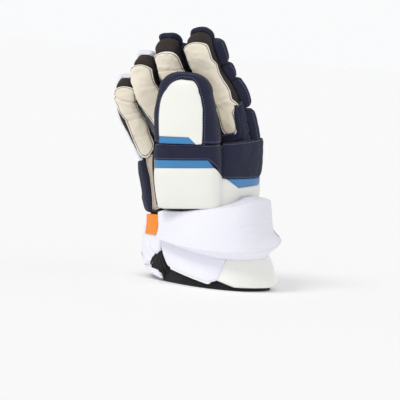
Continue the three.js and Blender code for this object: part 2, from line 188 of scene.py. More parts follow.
def quarter_angle(width, depth, square, share):
    """The angle on a quarter of a section at a share of the quarter's length from its wide end."""
    count = 40
    t = np.linspace(0, 1, count + 1)
    angle = (math.pi / 2) * (3 * t**2 - 2 * t**3)
    power = 2 / square[..., None]
    px = np.cos(angle).clip(0) ** power * width[..., None] / 2
    py = np.sin(angle).clip(0) ** power * depth[..., None]
    steps = np.hypot(np.diff(px, axis=-1), np.diff(py, axis=-1))
    lengths = np.concatenate([np.zeros(steps.shape[:-1] + (1,)), np.cumsum(steps, -1)], -1)
    wanted = share * lengths[..., -1]
    k = np.clip((lengths < wanted[..., None]).sum(-1), 1, count)
    low = np.take_along_axis(lengths, (k - 1)[..., None], -1)[..., 0]
    high = np.take_along_axis(lengths, k[..., None], -1)[..., 0]
    return angle[k - 1] + (angle[k] - angle[k - 1]) * (wanted - low) / (high - low)


def tube_points(table, station, turn, height):
    """Points of a tube. Past the last row, the stations run over the dome that closes the tip."""
    station, turn, height = np.broadcast_arrays(*(np.asarray(v, float) for v in (station, turn, height)))
    over = station - table["last"]
    domed = (over > 0) & bool(table["dome"])
    place = np.where(domed, table["last"], station)
    tilt = np.where(domed, np.minimum(over, 1) * DOME_ANGLE, 0)
    row = {k: smooth(table[k], place) for k in COLUMNS}
    centre = np.stack([row["x"], row["y"], row["z"]], -1)
    ahead = unit(centres(table, place + 0.02) - centres(table, place - 0.02))
    if table["level"]:
        ahead = np.broadcast_to(np.array([0.0, 0.0, 1.0]), ahead.shape)
    a = np.radians(row["turn"])
    palm_way = np.stack([-np.sin(a), -np.cos(a), 0 * a], -1)
    palm_way = unit(palm_way - ahead * (palm_way * ahead).sum(-1, keepdims=True))
    thumb_way = np.cross(ahead, palm_way)
    wrapped = turn - np.floor(turn)
    quarter = np.minimum(np.floor(wrapped * 4), 3)
    share = wrapped * 4 - quarter
    depth = np.where(quarter < 2, row["palm"], row["back"])
    rising = quarter % 2 == 0
    part = quarter_angle(row["width"], depth, row["square"], np.where(rising, share, 1 - share))
    angle = np.where(rising, quarter * math.pi / 2 + part, (quarter + 1) * math.pi / 2 - part)
    power = 2 / row["square"]
    cos, sin = np.cos(angle), np.sin(angle)
    across = np.sign(cos) * np.abs(cos) ** power * (row["width"] / 2 + height) * np.cos(tilt)
    through = np.sign(sin) * np.abs(sin) ** power * (depth + height) * np.cos(tilt)
    rise = np.where(domed, (table["dome"] + height) * np.sin(tilt), 0)
    point = centre + thumb_way * across[..., None] + palm_way * through[..., None]
    return point + ahead * rise[..., None]


def finger_tube(finger):
    """The tube of a finger, wider where it leaves the hand and tapered at its tip."""
    _, _, width, palm, back, turn, dome, _, _, path = finger
    rows = []
    for (x, y, z), depth, taper in zip(path, (1.15, 1, 1, 0.92), (1, 1, 0.97, 0.88)):
        rows.append((x, y, z, width * taper, palm * depth, back * depth, turn, 3))
    return tube(rows, dome=float(dome))


FINGER_TUBES = [finger_tube(finger) for finger in FINGERS]


def keep_side(finger):
    """Keeps points of a finger on its own side of the surface between it and each neighbour."""

    def settle(points):
        points = points.copy()
        for other in (finger - 1, finger + 1):
            if not 0 <= other < len(FINGERS):
                continue
            levels = points[..., 2]
            mine = centres(FINGER_TUBES[finger], station_at(FINGER_TUBES[finger], levels))
            theirs = centres(FINGER_TUBES[other], station_at(FINGER_TUBES[other], levels))
            away = mine - theirs
            away[..., 2] = 0
            away = unit(away)
            share = FINGERS[finger][2] / (FINGERS[finger][2] + FINGERS[other][2])
            middle = mine + (theirs - mine) * share
            clear = ((points - middle) * away).sum(-1)
            points += away * np.maximum(SIDE_GAP - clear, 0)[..., None]
        return points

    return settle


def keep_beyond(normal, point, gap=GAP):
    """Keeps points on the far side of a plane."""

    def settle(points):
        clear = ((points - point) * normal).sum(-1)
        return points + normal * np.maximum(gap - clear, 0)[..., None]

    return settle


def lattice(cells, seed):
    """A steady number from 0 to 1 for each cell."""
    mixed = cells.astype(np.int64)
    value = mixed[..., 0] * 374761393 + mixed[..., 1] * 668265263 + mixed[..., 2] * 2147483647 + seed * 97531
    value = (value ^ (value >> 13)) * 1274126177
    value = value ^ (value >> 16)
    return (value & 0xFFFF) / 65535.0


def noise(points, size, seed):
    """Smooth lumps from -1 to 1, about size millimetres wide."""
    scaled = np.asarray(points, float) / size
    cell = np.floor(scaled)
    t = scaled - cell
    t = t * t * t * (t * (6 * t - 15) + 10)
    total = 0
    for dx in (0, 1):
        for dy in (0, 1):
            for dz in (0, 1):
                weight = (t[..., 0] if dx else 1 - t[..., 0]) * (t[..., 1] if dy else 1 - t[..., 1])
                weight = weight * (t[..., 2] if dz else 1 - t[..., 2])
                total = total + weight * lattice(cell + np.array([dx, dy, dz]), seed)
    return total * 2 - 1


def segment_distance(x, y, ax, ay, bx, by):
    length = max((bx - ax) ** 2 + (by - ay) ** 2, 1e-9)
    t = np.clip(((x - ax) * (bx - ax) + (y - ay) * (by - ay)) / length, 0, 1)
    return np.hypot(x - ax - t * (bx - ax), y - ay - t * (by - ay))


def pillow(t, power):
    return np.maximum(0, 1 - np.abs(2 * t - 1) ** power) ** (1 / power)


def grid_quads(at):
    """The quads of a grid of vertex numbers, and of its underside, whose numbers follow on."""
    top = np.stack([at[:-1, :-1], at[1:, :-1], at[1:, 1:], at[:-1, 1:]], -1).reshape(-1, 4)
    return [top, flipped(top + at.size)]


def flipped(quads):
    return quads[:, [0, 3, 2, 1]]


def ring_quads(count, sides, closed=False):
    """The quads between rings of vertices that follow one another."""
    row = np.arange(count if closed else count - 1)[:, None]
    here, ahead = row * sides, (row + 1) % count * sides
    side = np.arange(sides)[None, :]
    beside = (side + 1) % sides
    return np.stack([here + side, here + beside, ahead + beside, ahead + side], -1).reshape(-1, 4)


def ease(t):
    """Shares drawn closer together at both ends."""
    return t - 0.07 * np.sin(2 * math.pi * t)


class Patch:
    """A padded piece on a tube. Its places are shares across, u, and along, v, from 0 to 1."""

    share = np.linspace(0, 1, 41)

    def __init__(self, table, shape, look, settle=None, seed=1):
        self.table = table
        self.shape = {"low": 1.4, "power": 3, **shape}
        self.shape.setdefault("foot", self.shape["edge"])
        self.look = look
        self.settle = settle
        self.seed = seed
        self.reach = (0.0, 1.0, 0.0, 1.0)
        self.measure()
        left, top, right, bottom = look.get("grow", (0, 0, 0, 0))
        across, along = self.width, self.length
        wide, tall = (across + left + right) / across, (along + top + bottom) / along
        self.reach = (-left / across, wide, -bottom / along, tall)
        self.measure()

    def measure(self):
        u, v = np.meshgrid(self.share, self.share)
        rim = self.raw(u, v, self.rim_height(u, v))
        self.widths = np.linalg.norm(np.diff(rim, axis=1), axis=-1).sum(1)
        self.lengths = np.linalg.norm(np.diff(rim, axis=0), axis=-1).sum(0)
        self.width, self.length = self.widths.mean(), self.lengths.mean()

    def base(self, u, v):
        """The table's own shares, from shares of the piece with its sides moved out."""
        return self.reach[0] + u * self.reach[1], self.reach[2] + v * self.reach[3]

    def rim_height(self, u, v):
        across, along = (np.clip(share, 0, 1) for share in self.base(u, v))
        foot, edge = spread(self.shape["foot"], across), spread(self.shape["edge"], across)
        return foot + (edge - foot) * along

    def raw(self, u, v, height):
        s = self.shape
        across, along = self.base(u, v)
        held_across, held_along = np.clip(across, 0, 1), np.clip(along, 0, 1)
        left, right = spread(s["left"], held_along), spread(s["right"], held_along)
        turn = (left + right) / 2 + (across - 0.5) * (right - left)
        start, end = spread(s["from"], held_across), spread(s["to"], held_across)
        place = start + (end - start) * along
        station = station_at(self.table, place) if self.table["level"] else place
        points = tube_points(self.table, station, turn, height)
        return self.settle(points) if self.settle else points

    def sizes(self, u, v):
        return np.interp(v, self.share, self.widths), np.interp(u, self.share, self.lengths)

    def radii(self, u, v, inset=0.0):
        """Radii across and along of the nearest corner. Corners go round from left top to left bottom."""
        corners = self.look["corner"]
        corners = corners if isinstance(corners, tuple) else (corners,) * 4
        pairs = [c if isinstance(c, tuple) else (c, c) for c in corners]
        out = []
        for k, size in enumerate(self.sizes(u, v)):
            top = np.where(u < 0.5, pairs[0][k], pairs[1][k])
            bottom = np.where(u < 0.5, pairs[3][k], pairs[2][k])
            radius = np.where(v > 0.5, top, bottom)
            out.append(np.minimum(np.maximum(radius - inset, 0.05), size / 2 - inset))
        return out

    def rounded(self, u, v, inset=0.0):
        """Moves a place in a square of shares into the piece's rounded outline, less an inset."""
        w, l = self.sizes(u, v)
        half_w, half_l = w / 2 - inset, l / 2 - inset
        rx, ry = self.radii(u, v, inset)
        x, y = (2 * u - 1) * half_w, (2 * v - 1) * half_l
        s = np.clip((np.abs(x) - half_w + rx) / rx, 0, 1)
        t = np.clip((np.abs(y) - half_l + ry) / ry, 0, 1)
        both = (s > 0) & (t > 0)
        x = np.where(both, np.sign(x) * (half_w - rx + rx * s * np.sqrt(1 - t * t / 2)), x)
        y = np.where(both, np.sign(y) * (half_l - ry + ry * t * np.sqrt(1 - s * s / 2)), y)
        ragged = self.look.get("ragged", 0)
        if ragged:
            spot = np.stack([y, np.sign(x) * 40, np.full_like(y, self.seed * 17.3)], -1)
            x = x + ragged * noise(spot, 4.5, self.seed) * np.sign(x) * (np.abs(x) / half_w) ** 4
        return x / w + 0.5, y / l + 0.5

    def rim_distance(self, u, v):
        """Millimetres from the rounded outline, growing inwards."""
        w, l = self.sizes(u, v)
        rx, ry = self.radii(u, v)
        dx, dy = w / 2 - np.abs(u - 0.5) * w, l / 2 - np.abs(v - 0.5) * l
        qx, qy = 1 - dx / rx, 1 - dy / ry
        reach = np.maximum(np.hypot(qx, qy), 1e-6)
        radius = (rx * qx**2 + ry * qy**2) / reach**2
        near_corner = (qx > 0) & (qy > 0)
        return np.maximum(np.where(near_corner, (1 - reach) * radius, np.minimum(dx, dy)), 0)

    def lift(self, u, v):
        """The height of the piece's top above its tube."""
        s, look = self.shape, self.look
        rim = self.rim_height(u, v)
        across = np.clip(self.base(u, v)[0], 0, 1)
        low = spread(s["low"], across)
        power = s["power"]
        peak = spread(s["high"], across) + look.get("puff", 0)
        high = rim + (peak - rim) * pillow(u, power) * pillow(np.clip(v, 0, 1), power)
        if "nose" in look:
            level, bump = (spread(values, across) for values in look["nose"])
            foot = spread(s["foot"], across)
            climb = np.clip(v / level, 0, 1)
            high = foot + (peak - foot) * pillow(u, power) * climb
            high = high + bump * pillow(u, power) * np.exp(-(((v - level) / 0.1) ** 2))
        d = self.rim_distance(u, v)
        soft = look["soft"]
        t = np.clip(d / soft, 0, 1)
        high = high - (rim - low) * look["fall"] * (1 - np.sqrt(1 - (1 - t) ** 2))
        x, y = u * self.width, v * self.length
        spot = np.stack([x, y, np.full_like(x, self.seed * 31.7)], -1)
        for size, amount in look.get("lumps", ((16, 0.5), (6, 0.15))):
            high = high + amount * noise(spot, size, self.seed) * np.clip(d / soft, 0, 1)
        pucker = look.get("pucker", 0)
        if pucker:
            high = high + pucker * noise(spot, 3.2, self.seed + 5) * np.exp(-d / 5) * np.clip(d / 1.5, 0, 1)
        inset = look.get("inset", 0)
        if inset:
            high = high - look.get("sink", 0.5) * np.exp(-(((d - inset) / 0.8) ** 2))
        for u0, v0, u1, v1, width, depth in look.get("creases", ()):
            wander = 1.2 * noise(spot, 9, self.seed + 3)
            ends = (u0 * self.width, v0 * self.length, u1 * self.width, v1 * self.length)
            away = segment_distance(x + wander, y + wander, *ends)
            high = high - depth * np.exp(-((away / width) ** 2))
        return np.maximum(high, low + 0.3)

    def place(self, u, v, extra=0.0):
        return self.raw(u, v, self.lift(u, v) + extra)

    def normals(self, u, v):
        step = 0.004
        right = self.place(u + step, v) - self.place(u - step, v)
        up = self.place(u, v + step) - self.place(u, v - step)
        return unit(np.cross(up, right))

    def mesh(self, step):
        """Vertices, quads, and a surface map with the distance from the rim, of the closed piece."""
        nu = max(6, int(round(self.width / step)))
        nv = max(6, int(round(self.length / step)))
        u, v = np.meshgrid(ease(np.linspace(0, 1, nu + 1)), ease(np.linspace(0, 1, nv + 1)))
        u, v = self.rounded(u, v)
        top = self.place(u, v)
        low = self.raw(u, v, spread(self.shape["low"], u))
        points = np.concatenate([top.reshape(-1, 3), low.reshape(-1, 3)])
        at = np.arange(top[..., 0].size).reshape(top.shape[:2])
        quads = grid_quads(at)
        left, right = (at[:-1, 0], at[1:, 0]), (at[1:, -1], at[:-1, -1])
        bottom, top_edge = (at[0, 1:], at[0, :-1]), (at[-1, :-1], at[-1, 1:])
        for a, b in (left, right, bottom, top_edge):
            quads.append(np.stack([a + at.size, b + at.size, b, a], -1))
        flat = np.stack([u * self.width, v * self.length], -1).reshape(-1, 2)
        rim = self.rim_distance(u, v).reshape(-1)
        rim_map = np.stack([rim, np.zeros_like(rim)], -1)
        return points, np.concatenate(quads), np.tile(flat, (2, 1)), np.tile(rim_map, (2, 1))

    def outline(self, inset, runs=("ltrb",), count=240):
        """Places along the outline at an inset. A run is the first letters of sides that join."""
        t = np.linspace(0, 1, count)
        edges = {"l": (0 * t, t), "t": (t, 0 * t + 1), "r": (0 * t + 1, t[::-1]), "b": (t[::-1], 0 * t)}
        for run in runs:
            u, v = (np.concatenate([edges[side][k] for side in run]) for k in (0, 1))
            yield self.rounded(u, v, inset)


def resample(points, pitch):
    """Even places along a line of points, as fractional indices."""
    steps = np.linalg.norm(np.diff(points, axis=0), axis=-1)
    run = np.concatenate([[0], np.cumsum(steps)])
    count = max(2, int(run[-1] / pitch))
    wanted = (np.arange(count) + 0.5) * run[-1] / count
    return np.interp(wanted, run, np.arange(len(points)))


def pick(values, index):
    low = np.clip(np.floor(index).astype(int), 0, len(values) - 2)
    t = (index - low)[:, None]
    return values[low] * (1 - t) + values[low + 1] * t


# A stitch's rings: share of its length, share of its radius, and rise over the surface in radii
STITCH_SIDES = 6
STITCH_RINGS = (
    (-0.5, 0.35, -0.9), (-0.3, 0.9, -0.1), (0.0, 1.0, 0.25), (0.3, 0.9, -0.1), (0.5, 0.35, -0.9),
)


def stitch_row(points, normals, pitch=3.2, length=2.4, radius=0.42):
    """One short thread after another along a line, each with its ends in the surface."""
    index = resample(points, pitch)
    centre = pick(points, index)
    up = unit(pick(normals, index))
    after = pick(points, np.minimum(index + 0.6, len(points) - 1))
    ahead = unit(after - pick(points, np.maximum(index - 0.6, 0)))
    side = unit(np.cross(up, ahead))
    up = np.cross(ahead, side)
    around = np.arange(STITCH_SIDES) * math.pi / 3
    rings = []
    for share, size, rise in STITCH_RINGS:
        middle = centre + ahead * share * length + up * radius * rise
        ring = middle[:, None] + radius * size * (
            side[:, None] * np.cos(around)[None, :, None] + up[:, None] * np.sin(around)[None, :, None]
        )
        rings.append(ring)
    verts = np.stack(rings, 1).reshape(-1, 3)
    first = np.arange(len(centre))[:, None, None] * STITCH_SIDES * len(STITCH_RINGS)
    quads = ring_quads(len(STITCH_RINGS), STITCH_SIDES)[None]
    return verts, (quads + first).reshape(-1, 4)


def rope(points, normals, radius, sides=8, closed=False):
    """A round piping along a line."""
    ahead = np.gradient(points, axis=0)
    if closed:
        ahead = np.roll(points, -1, 0) - np.roll(points, 1, 0)
    ahead = unit(ahead)
    side = unit(np.cross(unit(normals), ahead))
    up = np.cross(ahead, side)
    around = np.arange(sides) * 2 * math.pi / sides
    radius = np.broadcast_to(np.asarray(radius, float), (len(points),))
    ring = side[:, None] * np.cos(around)[None, :, None] + up[:, None] * np.sin(around)[None, :, None]
    verts = (points[:, None] + ring * radius[:, None, None]).reshape(-1, 3)
    return verts, ring_quads(len(points), sides, closed)


def merged(parts):
    """Several meshes as one."""
    verts, faces, offset = [], [], 0
    for v, f in parts:
        verts.append(v)
        faces.append(f + offset)
        offset += len(v)
    return np.concatenate(verts), np.concatenate(faces)


def to_row(points):
    moved = points - np.array([BASE_CENTRE[0], BASE_CENTRE[1], HEM_LEVEL])
    return moved / 1000


def link(name, mesh, material):
    """Puts a smooth mesh with its material into the scene."""
    mesh.polygons.foreach_set("use_smooth", np.ones(len(mesh.polygons), bool))
    mesh.materials.append(material)
    obj = bpy.data.objects.new(name, mesh)
    bpy.context.scene.collection.objects.link(obj)
    return obj


def add_maps(mesh, maps):
    """Adds UV layers by name, each from one pair for each vertex."""
    corners = np.zeros(len(mesh.loops), np.int32)
    mesh.loops.foreach_get("vertex_index", corners)
    for key, values in maps.items():
        layer = mesh.uv_layers.get(key) or mesh.uv_layers.new(name=key)
        layer.uv.foreach_set("vector", (values[corners] / MAP_UNIT).astype(np.float32).reshape(-1))


def make_object(name, points, faces, material, maps=None):
    """A mesh object in metres. maps gives UV layers by name, in millimetres."""
    mesh = bpy.data.meshes.new(name)
    points = to_row(points)
    mesh.vertices.add(len(points))
    mesh.vertices.foreach_set("co", points.astype(np.float32).reshape(-1))
    mesh.loops.add(faces.size)
    mesh.loops.foreach_set("vertex_index", faces.astype(np.int32).reshape(-1))
    mesh.polygons.add(len(faces))
    mesh.polygons.foreach_set("loop_start", np.arange(0, faces.size, faces.shape[1], dtype=np.int32))
    mesh.update(calc_edges=True)
    mesh.validate()
    add_maps(mesh, maps or {})
    return link(name, mesh, material)


def surface_maps(obj):
    """Maps millimetres round and up onto a piece that was joined or cut."""
    mesh = obj.data
    co = np.zeros(len(mesh.vertices) * 3, np.float32)
    mesh.vertices.foreach_get("co", co)
    co = co.reshape(-1, 3) * 1000
    flat = np.stack([np.arctan2(co[:, 1], co[:, 0]) * 75, co[:, 2]], -1)
    add_maps(mesh, {"UVMap": flat, "Rim": np.full_like(flat, FAR_FROM_RIM)})
    mesh.polygons.foreach_set("use_smooth", np.ones(len(mesh.polygons), bool))
    mesh.set_sharp_from_angle(angle=math.radians(50))


def cut(obj, others, operation="DIFFERENCE"):
    """Joins other closed meshes to this one, or cuts them away, and applies the result."""
    for other in others:
        modifier = obj.modifiers.new("cut", "BOOLEAN")
        modifier.operation = operation
        modifier.solver = "MANIFOLD"
        modifier.object = other
        bpy.context.view_layer.update()
        graph = bpy.context.evaluated_depsgraph_get()
        result = bpy.data.meshes.new_from_object(obj.evaluated_get(graph))
        obj.modifiers.clear()
        old = obj.data
        obj.data = result
        bpy.data.meshes.remove(old)
    return obj


def drop(objects):
    for obj in objects:
        bpy.data.objects.remove(obj)


def bulk(name, table, stations, height, rounds, material):
    """A closed length of a tube, with fans over its ends."""
    turns = np.arange(rounds) / rounds
    s, t = np.meshgrid(stations, turns, indexing="ij")
    rings = tube_points(table, s, t, height)
    points = rings.reshape(-1, 3)
    hubs = np.stack([rings[0].mean(0), rings[-1].mean(0)])
    points = np.concatenate([points, hubs])
    walls = flipped(ring_quads(len(stations), rounds))
    mesh = bpy.data.meshes.new(name)
    faces = [tuple(int(k) for k in f) for f in walls]
    low_hub, high_hub = len(points) - 2, len(points) - 1
    last = (len(stations) - 1) * rounds
    for k in range(rounds):
        n = (k + 1) % rounds
        faces.append((low_hub, k, n))
        faces.append((high_hub, last + n, last + k))
    mesh.from_pydata([tuple(p) for p in to_row(points)], [], faces)
    return link(name, mesh, material)


class Paint:
    """A node material. Every input is a number, a colour or another node's output."""

    def __init__(self, name):
        self.material = bpy.data.materials.new(name)
        self.material.use_nodes = True
        self.nodes = self.material.node_tree.nodes
        self.links = self.material.node_tree.links
        self.shader = next(n for n in self.nodes if n.type == "BSDF_PRINCIPLED")

    def add(self, kind, output=0, settings=None, **inputs):
        node = self.nodes.new("ShaderNode" + kind)
        for key, value in (settings or {}).items():
            setattr(node, key, value)
        for key, value in inputs.items():
            socket = node.inputs[int(key[1:])] if key[1:].isdigit() else node.inputs[key.replace("_", " ")]
            self.set(socket, value)
        return node.outputs[output]

    def set(self, socket, value):
        if isinstance(value, bpy.types.NodeSocket):
            self.links.new(value, socket)
        elif isinstance(value, tuple) and len(value) == 3 and socket.type == "RGBA":
            socket.default_value = (*value, 1)
        else:
            socket.default_value = value

    def math(self, operation, a, b=0.0, c=0.0):
        return self.add("Math", settings={"operation": operation}, i0=a, i1=b, i2=c)

    def mix(self, share, a, b):
        node = self.nodes.new("ShaderNodeMix")
        node.data_type = "RGBA"
        for i, value in ((0, share), (6, a), (7, b)):
            self.set(node.inputs[i], value)
        return node.outputs[2]

    def ramp(self, value, low, high):
        return self.add("MapRange", Value=value, From_Min=low, From_Max=high, To_Min=0.0, To_Max=1.0)

    def spots(self, scale, detail=2.0, rough=0.5):
        place = self.add("TexCoord", 3)
        return self.add("TexNoise", 0, Vector=place, Scale=scale, Detail=detail, Roughness=rough)

    def times(self, a, b):
        return self.math("MULTIPLY", a, b)

    def plus(self, a, b):
        return self.math("ADD", a, b)

    def less(self, a, b):
        return self.math("SUBTRACT", a, b)

    def surface(self, layer, count):
        """Millimetres from one or both parts of a surface map."""
        split = self.nodes.new("ShaderNodeSeparateXYZ")
        self.links.new(self.add("UVMap", settings={"uv_map": layer}), split.inputs[0])
        return [self.times(split.outputs[i], MAP_UNIT) for i in range(count)]

    def flat(self):
        """Millimetres across and along the piece."""
        return self.surface("UVMap", 2)

    def rim(self):
        """Millimetres from the piece's rim."""
        return self.surface("Rim", 1)[0]

    def wave(self, value, pitch):
        return self.math("COSINE", self.times(value, 2 * math.pi / pitch))

    def bump(self, height, strength, distance, under=None):
        inputs = {"Strength": strength, "Distance": distance, "Height": height}
        if under is not None:
            inputs["Normal"] = under
        return self.add("Bump", **inputs)

    def finish(self, colour, rough, normal, **plain):
        self.set(self.shader.inputs["Base Color"], colour)
        self.set(self.shader.inputs["Roughness"], rough)
        self.set(self.shader.inputs["Normal"], normal)
        for key, value in plain.items():
            self.set(self.shader.inputs[key.replace("_", " ")], value)
        return self.material


def tone(red, green, blue):
    """A colour from its 0 to 255 values as seen."""
    out = []
    for part in (red, green, blue):
        c = part / 255
        out.append(c / 12.92 if c <= 0.04045 else ((c + 0.055) / 1.055) ** 2.4)
    return tuple(out)


def woven(name, dark, light, pitch=1.3, rough=0.85, flecks=1500.0, sheen=0.25):
    """Woven nylon: crossing threads and heathered flecks."""
    p = Paint(name)
    x, y = p.flat()
    weave = p.times(p.wave(x, pitch), p.wave(y, pitch))
    fleck = p.ramp(p.spots(flecks, 3.0, 0.7), 0.35, 0.7)
    cloud = p.ramp(p.spots(45.0, 3.0), 0.3, 0.75)
    share = p.plus(p.times(fleck, 0.55), p.times(p.plus(weave, 1.0), 0.12))
    colour = p.mix(share, dark, light)
    colour = p.mix(p.times(cloud, 0.3), colour, light)
    height = p.plus(p.times(weave, 0.5), p.times(fleck, 0.3))
    normal = p.bump(height, 0.45, 0.00025)
    return p.finish(colour, rough, normal, Sheen_Weight=sheen, Sheen_Roughness=0.4, Specular_IOR_Level=0.3)


def knit(name, base, hole, pitch=2.3, rough=0.8, share=0.55, sheen=0.2):
    """Open knit: rows of small holes set in staggered lines, the holes painted darker as shade inside them.
    """
    p = Paint(name)
    x, y = p.flat()
    k = 4 * math.pi / (math.sqrt(3) * pitch)
    skew_a = p.plus(p.times(x, 0.5 * k), p.times(y, k * math.sqrt(3) / 2))
    skew_b = p.less(p.times(x, 0.5 * k), p.times(y, k * math.sqrt(3) / 2))
    waves = p.plus(p.math("COSINE", p.times(x, k)), p.math("COSINE", skew_a))
    waves = p.plus(waves, p.math("COSINE", skew_b))
    holes = p.ramp(waves, 0.9, 2.6)
    cloud = p.ramp(p.spots(30.0, 3.0), 0.3, 0.75)
    fine = p.spots(2600.0, 2.0)
    # Painted shade: the holes take the darker hole colour, for the shade inside them.
    colour = p.mix(p.times(holes, share), base, hole)
    shade = tuple(c * 0.93 for c in base)
    colour = p.mix(p.times(cloud, 0.35), colour, shade)
    height = p.less(p.times(fine, 0.25), holes)
    normal = p.bump(height, 0.35, 0.0003)
    return p.finish(colour, rough, normal, Sheen_Weight=sheen, Sheen_Roughness=0.5, Specular_IOR_Level=0.3)


def hide(name, base, shade, raw_edge, inset=2.3, rough=0.72):
    """Soft leather: fine grain, uneven tan, darker spots at random as painted shade, a pale raw edge and a
    dark line of painted shade in the sunken seam.
    """
    p = Paint(name)
    cells = p.add("TexVoronoi", 0, Vector=p.add("TexCoord", 3), Scale=900.0)
    grain = p.spots(420.0, 4.0, 0.6)
    cloud = p.ramp(p.spots(38.0, 4.0, 0.6), 0.32, 0.72)
    # Painted shade: darker spots at random places, for the shading of the leather's lumps.
    shade_spots = p.ramp(p.spots(130.0, 3.0, 0.7), 0.6, 0.8)
    rim = p.rim()
    colour = p.mix(p.times(cloud, 0.6), base, shade)
    colour = p.mix(p.times(shade_spots, 0.3), colour, tuple(c * 0.72 for c in shade))
    near = p.less(1.0, p.ramp(rim, 1.1, 1.7))
    # Painted shade: a dark line along the seam's inset, where the sunken seam groove would lie in shadow.
    away = p.math("ABSOLUTE", p.less(rim, inset))
    line = p.less(1.0, p.ramp(away, 0.2, 0.8))
    colour = p.mix(p.times(line, 0.75), colour, tuple(c * 0.22 for c in shade))
    colour = p.mix(p.times(near, 0.9), colour, raw_edge)
    height = p.plus(p.times(cells, 0.6), p.times(grain, 0.8))
    normal = p.bump(height, 0.3, 0.0003)
    return p.finish(colour, rough, normal, Specular_IOR_Level=0.35, Sheen_Weight=0.15, Sheen_Roughness=0.5)


def vinyl(name, base, shade, rough=0.4, coat=0.15, grain=0.12):
    """Smooth coated leather: faint grain, and a rim darkened partly as soil and partly as painted shade at
    the seams.
    """
    p = Paint(name)
    pores = p.add("TexVoronoi", 0, Vector=p.add("TexCoord", 3), Scale=1400.0)
    cloud = p.ramp(p.spots(22.0, 3.0), 0.3, 0.75)
    rim = p.rim()
    # Darker towards the rim: partly soil, partly painted shade where the piece meets its neighbours.
    rim_soil_and_shade = p.times(p.less(1.0, p.ramp(rim, 0.0, 2.2)), 0.5)
    colour = p.mix(p.times(cloud, 0.5), base, shade)
    colour = p.mix(rim_soil_and_shade, colour, tuple(c * 0.75 for c in shade))
    height = p.plus(pores, p.times(p.spots(260.0, 2.0), 0.7))
    normal = p.bump(height, grain, 0.0002)
    uneven = p.plus(p.times(p.spots(90.0, 3.0), 0.12), rough - 0.06)
    return p.finish(colour, uneven, normal, Coat_Weight=coat, Coat_Roughness=0.25)


def thread(name, colour):
    """Twisted sewing thread."""
    p = Paint(name)
    fine = p.spots(3000.0, 2.0)
    mixed = p.mix(p.times(fine, 0.5), colour, tuple(c * 0.6 for c in colour))
    return p.finish(mixed, 0.7, p.bump(fine, 0.3, 0.0002), Sheen_Weight=0.2)


# The second colour of each knit is painted shade inside its holes.
PAINTS = {
    "navy": woven("navy_nylon", tone(20, 22, 40), tone(47, 50, 77), sheen=0.1),
    "brown": woven("brown_knit", tone(33, 28, 27), tone(72, 63, 59), pitch=1.7, flecks=1100.0, sheen=0.05),
    "cream": hide("cream_hide", tone(247, 238, 220), tone(234, 222, 200), tone(252, 250, 244)),
    "taupe": hide("taupe_hide", tone(196, 183, 163), tone(170, 155, 134), tone(208, 200, 186)),
    "white_vinyl": vinyl("white_coated", tone(242, 242, 236), tone(234, 234, 228)),
    "white_gloss": vinyl("white_gloss", tone(246, 246, 241), tone(239, 239, 233), rough=0.2, coat=0.6,
     grain=0.05),
    "white_mesh": knit("white_knit", tone(243, 243, 252), tone(198, 198, 220)),
    "blue": vinyl("blue_coated", tone(56, 132, 188), tone(46, 116, 172)),
    "black_mesh": knit("black_knit", tone(30, 30, 32), tone(6, 6, 7), pitch=1.9, share=0.8, sheen=0.1),
    "orange": woven("orange_label", tone(247, 132, 30), tone(252, 160, 64), pitch=0.9, rough=0.7,
     flecks=2200.0),
}
THREADS = {
    "navy": thread("navy_thread", tone(112, 117, 148)),
    "dark": thread("dark_thread", tone(30, 28, 30)),
    "cream": thread("cream_thread", tone(196, 184, 158)),
    "white": thread("white_thread", tone(222, 222, 226)),
}


